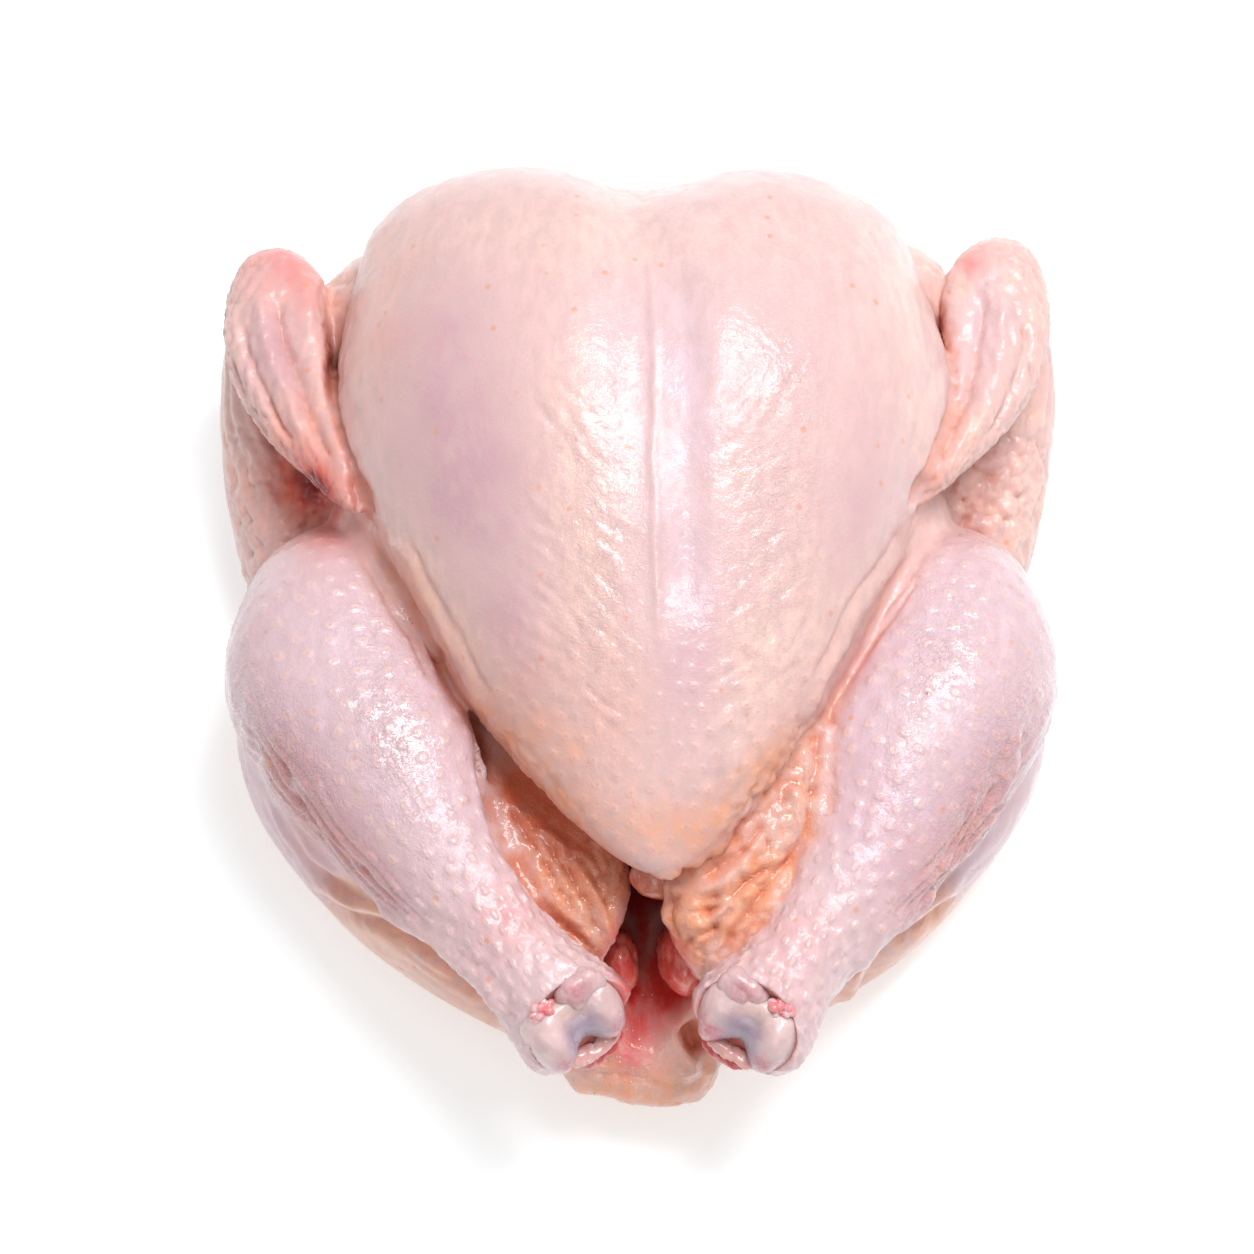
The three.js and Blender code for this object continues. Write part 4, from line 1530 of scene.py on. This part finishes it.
def uneven(tree, mask, mottle, by_broad, by_fine):
    """A mask varied by the broad and the fine mottle, where there is any."""
    fine = maths(tree, "MULTIPLY_ADD", mottle[1], by_fine, 1.0)
    both = maths(tree, "MULTIPLY_ADD", mottle[0], by_broad, fine)
    return maths(tree, "MULTIPLY", mask, both, clamp=True)


def with_pores(tree, tone, place, pearl, raised, pore, colours):
    """A tone with paler bumps round the follicles, their pores and a few stray pores."""
    paler = maths(tree, "MULTIPLY", raised, maths(tree, "MULTIPLY_ADD", pearl, 0.4, 0.1))
    tone = mixed(tree, paler, tone, colours.bump)
    pore_tone = mixed(tree, pearl, colours.pore, colours.cream)
    tone = mixed(tree, maths(tree, "MULTIPLY", pore, 0.6), tone, pore_tone)
    spots = add(tree, "TexVoronoi", {"Vector": place, "Scale": CYCLES["stray_pores"]}).outputs
    chosen = add(tree, "SeparateXYZ", {0: spots["Color"]}).outputs[0]
    spot = ranged(tree, spots["Distance"], 0.06, 0.17, 1.0, 0.0)
    spot = maths(tree, "MULTIPLY", spot, ranged(tree, chosen, 0.35, 0.8, 0.0, 0.6))
    return mixed(tree, spot, tone, colours.pore)


def with_painted_shade_and_flesh(tree, tone, place, flesh, mottle, colours):
    """A tone that is darkened with painted shade in gaps that little light reaches, turns to flesh in the
    cavity, and to dark red painted shade further in."""
    light = add(tree, "AmbientOcclusion", {"Distance": GAP_REACH}, samples=3).outputs["AO"]
    # Painted shade from the ambient-occlusion node: the dark fold tone in gaps, and the gap tone in the
    # narrowest.
    tone = mixed(tree, ranged(tree, light, 0.12, 0.66, 0.9, 0.0), tone, colours.crease_shade)
    tone = mixed(tree, ranged(tree, light, 0.0, 0.34, 0.9, 0.0), tone, colours.gap)
    tone = mixed(tree, uneven(tree, flesh, mottle, 0.15, 0.25), tone, colours.flesh)
    # Painted shade: the flesh turns dark red behind the cavity's mouth.
    inwards = add(tree, "SeparateXYZ", {0: place}).outputs["Y"]
    inside = maths(
        tree, "MULTIPLY", ranged(tree, inwards, *MOUTH), ranged(tree, inwards, *FAR_END, 1.0, 0.8)
    )
    within = maths(tree, "MULTIPLY", ranged(tree, flesh, 0.5, 0.9), inside)
    return mixed(tree, within, tone, colours.within)


def with_film(tree, shader, place, wet, creped):
    """Sets the skin's roughness, in dry patches, and the weight of the wet film over it."""
    dry = ranged(tree, noise_node(tree, place, CYCLES["dry_patches"], 2.0), 0.35, 0.68, 0.30, 0.46)
    roughness = maths(tree, "MULTIPLY_ADD", creped, -0.1, dry)
    tree.links.new(roughness, shader.inputs["Roughness"])
    damp = maths(tree, "MULTIPLY_ADD", creped, 0.6, wet, clamp=True)
    patches = ranged(tree, noise_node(tree, place, CYCLES["film"], 2.0), 0.35, 0.6, 0.3, 1.0)
    tree.links.new(maths(tree, "MULTIPLY", damp, patches), shader.inputs["Coat Weight"])


def crepe_height(tree, place, across, along, plain):
    """The finest wrinkles of damp skin: threads where a bent noise passes its middle, over small cells, and
    a noise drawn out along the follicles' rows."""
    bent = noise_node(tree, place, CYCLES["threads"], 1.5, 0.6, 0.8)
    thread = ranged(tree, maths(tree, "ABSOLUTE", maths(tree, "SUBTRACT", bent, 0.5)), 0.0, 0.11)
    cells = add(tree, "TexVoronoi", {"Vector": place, "Scale": CYCLES["cells"]}, feature="F1").outputs
    height = maths(tree, "MULTIPLY_ADD", cells["Distance"], -0.55, thread)
    rows = {0: maths(tree, "MULTIPLY", across, 0.16), 1: maths(tree, "MULTIPLY", along, 0.8)}
    drawn = noise_node(tree, add(tree, "CombineXYZ", rows).outputs[0], 1.0, 2.0, 0.6)
    return maths(tree, "MULTIPLY_ADD", maths(tree, "MULTIPLY", drawn, plain), 2.2, height)


def skin_material(name, colours, sizes):
    """Damp raw skin: tones from the masks, mottled, with follicles, pores, crepe and a wet film."""
    made, tree, shader = new_material(
        name,
        Subsurface_Weight=0.32,
        Subsurface_Radius=(1.0, 0.42, 0.28),
        Subsurface_Scale=0.0024,
        Coat_Roughness=0.09,
        Coat_IOR=1.5,
        IOR=1.4,
    )
    place = object_place(tree)
    masks = {}
    for kept, names in STORED.items():
        masks.update(zip(names, three_of(tree, kept)))
    across, along, plain = three_of(tree, "follicles")
    mottle = mottled(tree, place, MOTTLE["skin"])
    distance = follicle_distance(tree, across, along)
    raised = maths(tree, "MULTIPLY", ranged(tree, distance, *FOLLICLE["bump"], 1.0, 0.0), plain)
    pore = maths(tree, "MULTIPLY", ranged(tree, distance, *FOLLICLE["pore"], 1.0, 0.0), plain)

    tone = colours.skin
    for mask, laid, by_broad, by_fine in SKIN_TONES:
        share = uneven(tree, masks[mask], mottle, by_broad, by_fine)
        tone = mixed(tree, share, tone, getattr(colours, laid))
    tone = with_pores(tree, tone, place, masks["pearl"], raised, pore, colours)
    tone = with_painted_shade_and_flesh(tree, tone, place, masks["flesh"], mottle, colours)
    tree.links.new(shaded(tree, tone, mottle[1], 0.05), shader.inputs["Base Color"])
    with_film(tree, shader, place, masks["wet"], masks["crepe"])

    crepe = crepe_height(tree, place, across, along, plain)
    crepe = maths(tree, "MULTIPLY", crepe, masks["crepe"])
    dome = maths(tree, "MULTIPLY_ADD", pore, -0.4, raised)
    bumped(tree, shader, maths(tree, "MULTIPLY_ADD", dome, 1.5, crepe), sizes.crepe)
    ripple = maths(tree, "MULTIPLY_ADD", dome, 0.6, noise_node(tree, place, CYCLES["ripple"], 2.0))
    bumped(tree, shader, maths(tree, "MULTIPLY", ripple, 2.4), sizes.crepe, ("Coat Normal",))
    return made


def cartilage_material(name, colours):
    """Wet cartilage: pearly, bluish in its groove, with blood under it in clouds."""
    made, tree, shader = new_material(
        name,
        Subsurface_Weight=0.5,
        Subsurface_Radius=(1.0, 0.7, 0.6),
        Subsurface_Scale=0.003,
        Coat_Weight=0.4,
        Coat_Roughness=0.12,
    )
    place = object_place(tree)
    groove, blood, cream = three_of(tree, "marks")
    broad, fine = mottled(tree, place, MOTTLE["cartilage"])
    tone = mixed(tree, groove, colours.cartilage, colours.groove)
    clouds = maths(tree, "MULTIPLY", blood, maths(tree, "MULTIPLY_ADD", fine, 0.4, 0.8), clamp=True)
    tone = mixed(tree, clouds, tone, colours.bruise)
    tone = mixed(tree, cream, tone, colours.cream)
    tree.links.new(shaded(tree, tone, broad, 0.08), shader.inputs["Base Color"])
    worn = ranged(tree, noise_node(tree, place, 300.0), 0.35, 0.65, 0.24, 0.42)
    tree.links.new(worn, shader.inputs["Roughness"])
    grain = noise_node(tree, place, 900.0, 3.0)
    bumped(tree, shader, grain, 0.0002, ("Normal", "Coat Normal"), 0.7)
    return made


# The paler tone that clouds each kind of flesh, and how its fibres are scaled along X, Y and Z. Its deeper
# tone is the colour of the same name.
FLESH = {
    "ligament": {"pale": (0.74, 0.48, 0.43), "fibre": (1, 1, 0.3)},
    "hock_pad": {"pale": (0.78, 0.52, 0.54), "fibre": (1, 1, 1)},
    "cut_meat": {"pale": (0.68, 0.26, 0.25), "fibre": (0.3, 1, 1)},
    "organ": {"pale": (0.80, 0.25, 0.20), "fibre": (1, 1, 1)},
    # Partly the fat's own brown-orange and partly painted shade under the breast's tip.
    "soft_fat": {"pale": (0.64, 0.27, 0.18), "fibre": (1, 1, 1)},
}


def flesh_material(name, colours):
    """Raw flesh or organ: a deep tone clouded with a paler one, fine fibres and a wet gloss."""
    made, tree, shader = new_material(
        name,
        Subsurface_Weight=0.3,
        Subsurface_Radius=(1.0, 0.25, 0.15),
        Subsurface_Scale=0.003,
        Coat_Weight=0.7,
        Coat_Roughness=0.08,
    )
    place = object_place(tree)
    cloud = ranged(tree, maths(tree, "ADD", *mottled(tree, place, MOTTLE["flesh"])), -0.6, 1.6)
    tone = mixed(tree, cloud, getattr(colours, name), FLESH[name]["pale"])
    tree.links.new(tone, shader.inputs["Base Color"])
    stretched = add(tree, "Mapping", {"Vector": place, "Scale": FLESH[name]["fibre"]}).outputs[0]
    strands = noise_node(tree, stretched, 300.0, 4.0)
    tree.links.new(ranged(tree, strands, 0.3, 0.7, 0.2, 0.42), shader.inputs["Roughness"])
    bumped(tree, shader, strands, 0.00015, strength=0.7)
    return made


def moisture_material(name, colours):
    """Beads of clouded juice, a little uneven in tone and gloss."""
    made, tree, shader = new_material(
        name, Subsurface_Weight=0.6, Subsurface_Scale=0.001, Coat_Weight=0.8
    )
    cloud = noise_node(tree, object_place(tree), 200.0)
    tone = mixed(tree, cloud, colours.moisture, (0.82, 0.50, 0.43))
    tree.links.new(tone, shader.inputs["Base Color"])
    tree.links.new(ranged(tree, cloud, 0.3, 0.7, 0.0, 0.05), shader.inputs["Roughness"])
    return made


def floor_material(name, studio):
    """Matt white board with a trace of tooth."""
    made, tree, shader = new_material(
        name, Roughness=0.9, Emission_Color=(1, 1, 1, 1), Emission_Strength=studio.glow
    )
    place = object_place(tree)
    shadier = tuple(value * 0.985 for value in studio.floor)
    tone = mixed(tree, noise_node(tree, place, 3.0), shadier, studio.floor)
    tree.links.new(tone, shader.inputs["Base Color"])
    bumped(tree, shader, noise_node(tree, place, 400.0), 0.0002, strength=0.1)
    return made


# ---- The smaller pieces ----


# The bare joint: its radius, the depth of its groove and how far its ends draw in, in millimetres, the
# widths of both as shares of its half-length, and how much it is stretched below its axis and above it.
SPOOL = {
    "radius": 9.6,
    "groove": 3.8,
    "groove_width": 0.36,
    "ends": 1.2,
    "ends_width": 0.25,
    "below": 1.12,
    "above": 0.94,
}


def spool_surface(hock):
    """The bare joint: round an axis across the leg, a radius with two knuckles and a groove between.

    The radius is a base, less a bell over the middle that is deepest on the open side, less a narrower one
    at each end. The section is stretched down the face, and a slow noise makes the knuckles unlike.
    """
    s = np.sin(np.pi / 2 * np.linspace(-1, 1, 61))
    angle = np.linspace(0, 2 * np.pi, 64, endpoint=False)
    open_side = smooth(np.sin(angle - 0.6), 0.0, 0.55)
    saddle = np.exp(-((s / SPOOL["groove_width"]) ** 2))[:, None] * (0.15 + 0.95 * open_side)[None, :]
    ends = np.exp(-(((np.abs(s) - 1) / SPOOL["ends_width"]) ** 2))[:, None]
    closing = np.sqrt(np.clip(1 - np.abs(s) ** 6, 0, 1))[:, None]
    radius = (SPOOL["radius"] - SPOOL["groove"] * saddle - SPOOL["ends"] * ends) * closing
    stretch = np.where(np.cos(angle) < 0, SPOOL["below"], SPOOL["above"])
    up = radius * (np.cos(angle) * stretch)[None, :]
    out = radius * np.sin(angle)[None, :]
    along = np.repeat((s * hock.half)[:, None], len(angle), axis=1)
    grid = hock.centre + sum(
        part[..., None] * way for part, way in ((along, hock.axis), (up, hock.rise), (out, hock.face))
    )
    flat = grid.reshape(-1, 3)
    swell = 0.6 * rough(flat, 8, 131) + 0.3 * lobules(flat, 4.5, 133)
    outward = (flat - hock.centre) - ((flat - hock.centre) @ hock.axis)[:, None] * hock.axis
    outward /= np.maximum(np.linalg.norm(outward, axis=1, keepdims=True), 1e-6)
    return closed_surface((flat + swell[:, None] * outward).reshape(grid.shape))


def make_hock(name, material):
    """A hock's cartilage as a piece that stands for its solid."""
    hock = HOCK_AT[name]
    piece = joined_mesh("cartilage_" + name, [spool_surface(hock)])
    points = points_of(piece.data)
    along, up, out = hock.place(points)
    share = np.abs(along) / hock.half
    groove = (1 - smooth(share, 0.15, 0.6)) * smooth(out, 0, 4) * (1 - smooth(up, 0, 5))
    groove += 0.5 * smooth(-up, 0, 6) * smooth(rough(points, 9, 143), -0.6, 0.6)
    blood = 0.9 * np.exp(-(((share - 0.62) / 0.2) ** 2) - ((up + 5.5) / 2.6) ** 2) * (out > 0)
    bled = smooth(-along * OUT[name], 1, 7) * smooth(rough(points, 6, 141), -0.5, 0.4)
    blood += (0.55 + 0.4 * OUT[name]) * bled
    cream = smooth(up, 2, 5) * (1 - smooth(share, 0.1, 0.5)) * 0.6
    store(piece.data, "marks", [np.clip(groove, 0, 1), np.clip(blood, 0, 0.9), cream])
    piece.data.materials.append(material)
    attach(piece, "root")
    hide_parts("hock_" + name)
    return piece


def lumpy(surface, size, height, seed):
    """A closed surface whose points move from its middle by lobules and noise."""
    points, quads, ends = surface
    outward = points - points.mean(0)
    outward /= np.maximum(np.linalg.norm(outward, axis=1, keepdims=True), 1e-6)
    swell = height * (lobules(points, size, seed) - 0.5)
    swell = swell + 0.5 * height * noise(points, size * 1.7, seed + 1)
    return points + swell[:, None] * outward, quads, ends


# The share of its thickness that a strand has at its ends, and the way that its thickness is measured.
TAPER = 0.35
STEEPLY = (0.3, 0.2, 0.9)


def strand(points, thickness, flatness):
    """A tapered strand of gristle or meat through a few points: a limb that is thick by flatness deep."""
    stations = [(*point, thickness, thickness * flatness) for point in points]
    for end in (0, -1):
        stations[end] = (*points[end], thickness * TAPER, thickness * flatness * TAPER)
    return limb(stations, STEEPLY, cap=0.3, around=20, along=36)


def finish_piece(piece, material):
    """Gives a piece its material and its body."""
    piece.data.materials.append(material)
    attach(piece, "root")
    return piece


# The lumps above each joint, in millimetres. Their points lie along the joint, either side of a middle that
# is shifted inwards, or outwards where the shift is negative, at one height up the face and out of it. Then
# come their half-width and half-depth, the shares over which their ends close, how square they are, and the
# size, height and seed of their unevenness.
PAD = {
    "shift": -5.2,
    "along": (-4.2, 0, 4.2),
    "up": 8.0,
    "out": 4.0,
    "half": (3.4, 3.0),
    "cap": 0.5,
    "squareness": 2.0,
    "uneven": (2.8, 1.3, 7),
}
KNOB = {
    "shift": 5.2,
    "along": (-7.0, -2.5, 2.5, 7.0),
    "up": 6.2,
    "out": 3.0,
    "half": (5.0, 4.4),
    "cap": 0.36,
    "squareness": 3.0,
    "uneven": (6.5, 0.9, 9),
}
# The strands under each joint: how far they reach either side of a middle that is shifted inwards, how far
# up the face and out of it that middle lies, how far back from it the ends lie, their thickness, how many
# times as deep they are, and their unevenness. Last, how far up the face their ends turn.
LIGAMENT = {
    "shift": 1,
    "reach": 9.5,
    "up": -9.6,
    "out": 2.4,
    "back": 0.8,
    "half": 1.6,
    "flatness": 1.6,
    "uneven": (2.2, 1.0, 19),
}
MEAT = {
    "shift": 2,
    "reach": 7.5,
    "up": -11.8,
    "out": 1.2,
    "back": 0,
    "half": 1.6,
    "flatness": 1.5,
    "uneven": (2.2, 0.6, 17),
}
ENDS_UP = 1.6


def hock_lump(hock, inner, spec):
    """A lump above the joint. Inner is 1 where the joint's axis points in to the body's middle, else -1."""
    middle = inner * spec["shift"]
    line = [(*hock.at(middle + k, spec["up"], spec["out"]), *spec["half"]) for k in spec["along"]]
    lump = limb(line, hock.rise, cap=spec["cap"], squareness=spec["squareness"])
    return lumpy(lump, *spec["uneven"])


def hock_strand(hock, inner, spec):
    """A strand under the joint whose ends turn up and back by a square law."""
    line = [
        hock.at(
            k * spec["reach"] + spec["shift"] * inner,
            spec["up"] + ENDS_UP * k * k,
            spec["out"] - spec["back"] * k * k,
        )
        for k in np.linspace(-1, 1, 6)
    ]
    return lumpy(strand(line, spec["half"], spec["flatness"]), *spec["uneven"])


# The radii of the beads of moisture, in millimetres: the least, how much more the rest may have, and the
# number of sizes that they come in.
BEAD_LEAST = 0.16
BEAD_MORE = 0.22
BEAD_SIZES = 5
# Where moisture gathers in the picture plane: middle x and y, half-width and half-height.
WET_SPOTS = [(-2, -103, 6, 4), (-2, -109, 9, 3), (8, -103, 5, 4), (3, -94, 3, 4)]


def bead(at, normal, radius):
    """A droplet: a ball pressed to half its height against the skin."""
    down = np.linspace(0, np.pi, 9)
    angle = np.linspace(0, 2 * np.pi, 12, endpoint=False)
    side = np.cross(normal, ACROSS)
    side /= np.linalg.norm(side)
    ways = (side, np.cross(normal, side), 0.55 * normal)
    ball = (
        np.sin(down)[:, None] * np.cos(angle)[None, :],
        np.sin(down)[:, None] * np.sin(angle)[None, :],
        np.repeat(np.cos(down)[:, None], len(angle), axis=1),
    )
    grid = sum(part[..., None] * way for part, way in zip(ball, ways))
    return closed_surface(at + 0.1 * radius * normal + radius * grid)


# ---- Operators ----


def shared_material(name, build, *settings):
    """A material by name, built from the settings the first time."""
    return bpy.data.materials.get(name) or build(name, *settings)


class CHICKEN_OT_skin(bpy.types.Operator):
    """Build the chicken's skin with its folds, follicles and tones"""

    bl_idname = "chicken.skin"
    bl_label = "Skin"

    def execute(self, context):
        sizes, colours = context.scene.chicken_sizes, context.scene.chicken_colours
        skin = build_skin(sizes)
        finish_piece(skin, skin_material("raw_skin", colours, sizes))
        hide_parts("chicken")
        return {"FINISHED"}


class CHICKEN_OT_hocks(bpy.types.Operator):
    """Build the bare cartilage on the ends of both legs"""

    bl_idname = "chicken.hocks"
    bl_label = "Hocks"

    def execute(self, context):
        colours = context.scene.chicken_colours
        material = shared_material("hock_cartilage", cartilage_material, colours)
        for name in HOCKS:
            make_hock(name, material)
        return {"FINISHED"}


class CHICKEN_OT_gristle(bpy.types.Operator):
    """Build the pads, knobs, ligaments and cut meat round each hock"""

    bl_idname = "chicken.gristle"
    bl_label = "Gristle"

    def execute(self, context):
        colours = context.scene.chicken_colours
        pink = shared_material("hock_pad", flesh_material, colours)
        pearly = shared_material("hock_cartilage", cartilage_material, colours)
        pale = shared_material("ligament", flesh_material, colours)
        red = shared_material("cut_meat", flesh_material, colours)
        for name, out in OUT.items():
            hock = HOCK_AT[name]
            inner = -out
            finish_piece(joined_mesh("pad_" + name, [hock_lump(hock, inner, PAD)]), pink)
            knob = joined_mesh("knob_" + name, [hock_lump(hock, inner, KNOB)])
            far = np.linalg.norm(points_of(knob.data) - hock.at(inner * 3.5, 8, 8), axis=1)
            rosy = np.exp(-((far / 4.5) ** 2))
            store(knob.data, "marks", [0.1 + 0 * rosy, 0.7 * rosy, 0 * rosy])
            finish_piece(knob, pearly)
            band = hock_strand(hock, inner, LIGAMENT)
            finish_piece(joined_mesh("ligament_" + name, [band]), pale)
            strip = hock_strand(hock, inner, MEAT)
            finish_piece(joined_mesh("meat_" + name, [strip]), red)
        return {"FINISHED"}


class CHICKEN_OT_organs(bpy.types.Operator):
    """Build the kidneys and the flesh that show in the cavity"""

    bl_idname = "chicken.organs"
    bl_label = "Organs"

    def execute(self, context):
        colours = context.scene.chicken_colours
        organ = shared_material("organ", flesh_material, colours)
        for name, stations in KIDNEYS.items():
            kidney = limb(stations, ACROSS, cap=0.3, around=48, along=60)
            finish_piece(joined_mesh("kidney_" + name, [lumpy(kidney, 7, 0.8, 23)]), organ)
        fat = shared_material("soft_fat", flesh_material, colours)
        tip = lumpy(limb(KEEL_FLESH, ACROSS, cap=0.4), 6, 0.4, 29)
        finish_piece(joined_mesh("keel_flesh", [tip]), fat)
        return {"FINISHED"}


class CHICKEN_OT_moisture(bpy.types.Operator):
    """Scatter beads of moisture over the tail and the cavity's floor"""

    bl_idname = "chicken.moisture"
    bl_label = "Moisture"

    def execute(self, context):
        skin = context.scene.objects["chicken_skin"]
        points = points_of(skin.data)
        normals = normals_of(skin.data)
        seen = in_view(points)
        chance = np.zeros(len(points))
        for x, y, half_width, half_height in WET_SPOTS:
            squared_x = ((seen[:, 0] - x) / half_width) ** 2
            chance += np.exp(-squared_x - ((seen[:, 1] - y) / half_height) ** 2)
        chance *= normals @ TOWARDS_CAMERA > 0.35
        order = np.argsort(hashed(np.floor(points * 20), 171) / np.maximum(chance, 1e-6))
        beads = [
            bead(points[k], normals[k], BEAD_LEAST + BEAD_MORE * (n % BEAD_SIZES) / BEAD_SIZES)
            for n, k in enumerate(order[: context.scene.chicken_sizes.droplets])
        ]
        material = shared_material("moisture", moisture_material, context.scene.chicken_colours)
        finish_piece(joined_mesh("droplets", beads), material)
        return {"FINISHED"}


# The floor: half its side and its level in metres, and the squares along a side. The lights: where each
# stands and how deep it is in metres, and its share of the key's power. Then the place that they face,
# their colour and the even light's, and the width of the camera's sensor in millimetres.
FLOOR = {"half": 3, "level": -0.0002, "squares": 12}
LIGHTS = {
    "key": {"at": (0.27, 0.30, 1.03), "depth": 0.6, "share": 1.0},
    "front": {"at": (-0.1, -0.9, 1.1), "depth": 0.7, "share": 0.2},
}
LIGHTS_AIM = (0, 0, 0.05)
LIGHT_TINT = (0.985, 0.985, 1.0)
DAYLIGHT_TINT = (1.0, 0.995, 0.99, 1)
SENSOR = 36


def make_floor(studio):
    """A flat square grid just under the chicken."""
    squares = FLOOR["squares"]
    row = squares + 1
    line = np.linspace(-FLOOR["half"], FLOOR["half"], row)
    x, y = np.meshgrid(line, line)
    points = np.stack([x.ravel(), y.ravel(), np.full(x.size, FLOOR["level"])], 1)
    corner = (np.arange(squares)[:, None] * row + np.arange(squares)[None, :]).ravel()
    quads = np.stack([corner, corner + 1, corner + row + 1, corner + row], 1)
    floor = new_mesh("studio_floor", points, quads)
    floor.data.materials.append(floor_material("studio_floor", studio))


def make_light(scene, name, studio):
    """A soft rectangular light that faces the chicken."""
    light = bpy.data.lights.new("studio_" + name, "AREA")
    light.shape = "RECTANGLE"
    light.energy = studio.key_power * LIGHTS[name]["share"]
    light.size = studio.key_size
    light.size_y = LIGHTS[name]["depth"]
    light.color = LIGHT_TINT
    holder = bpy.data.objects.new("studio_" + name, light)
    holder.location = LIGHTS[name]["at"]
    aim = Vector(LIGHTS_AIM) - Vector(LIGHTS[name]["at"])
    holder.rotation_euler = aim.to_track_quat("-Z", "Y").to_euler()
    scene.collection.objects.link(holder)


def make_camera(scene):
    """The camera, as far from its target and as high as VIEW says."""
    camera = bpy.data.cameras.new("studio_camera")
    camera.sensor_width = SENSOR
    camera.lens = camera.sensor_width * VIEW["distance"] / VIEW["field"]
    holder = bpy.data.objects.new("studio_camera", camera)
    target = (np.array(VIEW["target"]) + SHIFT) * MM
    holder.location = target + TOWARDS_CAMERA * VIEW["distance"] * MM
    holder.rotation_euler = (math.radians(90 - VIEW["elevation"]), 0, 0)
    scene.collection.objects.link(holder)
    scene.camera = holder


class CHICKEN_OT_studio(bpy.types.Operator):
    """Build the floor, the lights and the camera"""

    bl_idname = "chicken.studio"
    bl_label = "Studio"

    def execute(self, context):
        scene = context.scene
        studio = scene.chicken_studio
        make_floor(studio)
        world = bpy.data.worlds.new("studio_daylight")
        world.use_nodes = True
        background = world.node_tree.nodes["Background"]
        background.inputs["Color"].default_value = DAYLIGHT_TINT
        background.inputs["Strength"].default_value = studio.daylight
        scene.world = world
        for name in LIGHTS:
            make_light(scene, name, studio)
        make_camera(scene)
        scene.view_settings.view_transform = "Standard"
        return {"FINISHED"}


class VIEW3D_PT_chicken(bpy.types.Panel):
    """Lists the chicken's pieces and what may be changed"""

    bl_label = "Whole raw chicken"
    bl_space_type = "VIEW_3D"
    bl_region_type = "UI"
    bl_category = "Chicken"

    def draw(self, context):
        for held in SETTINGS:
            box = self.layout.box()
            settings = getattr(context.scene, held)
            for name in settings.__annotations__:
                box.prop(settings, name)
        for operator in OPERATORS:
            self.layout.operator(operator.bl_idname)


OPERATORS = (
    CHICKEN_OT_skin,
    CHICKEN_OT_hocks,
    CHICKEN_OT_gristle,
    CHICKEN_OT_organs,
    CHICKEN_OT_moisture,
    CHICKEN_OT_studio,
)
SETTINGS = {
    "chicken_sizes": ChickenSizes,
    "chicken_colours": ChickenColours,
    "chicken_studio": ChickenStudio,
}


def register():
    for kind in (*SETTINGS.values(), *OPERATORS, VIEW3D_PT_chicken):
        bpy.utils.register_class(kind)
    for name, kind in SETTINGS.items():
        setattr(bpy.types.Scene, name, bpy.props.PointerProperty(type=kind))


def unregister():
    for name in SETTINGS:
        delattr(bpy.types.Scene, name)
    for kind in reversed((*SETTINGS.values(), *OPERATORS, VIEW3D_PT_chicken)):
        bpy.utils.unregister_class(kind)


def main():
    """Makes every piece."""
    register()
    bpy.ops.chicken.skin()
    bpy.ops.chicken.hocks()
    bpy.ops.chicken.gristle()
    bpy.ops.chicken.organs()
    bpy.ops.chicken.moisture()
    bpy.ops.chicken.studio()


if __name__ == "__main__":
    main()
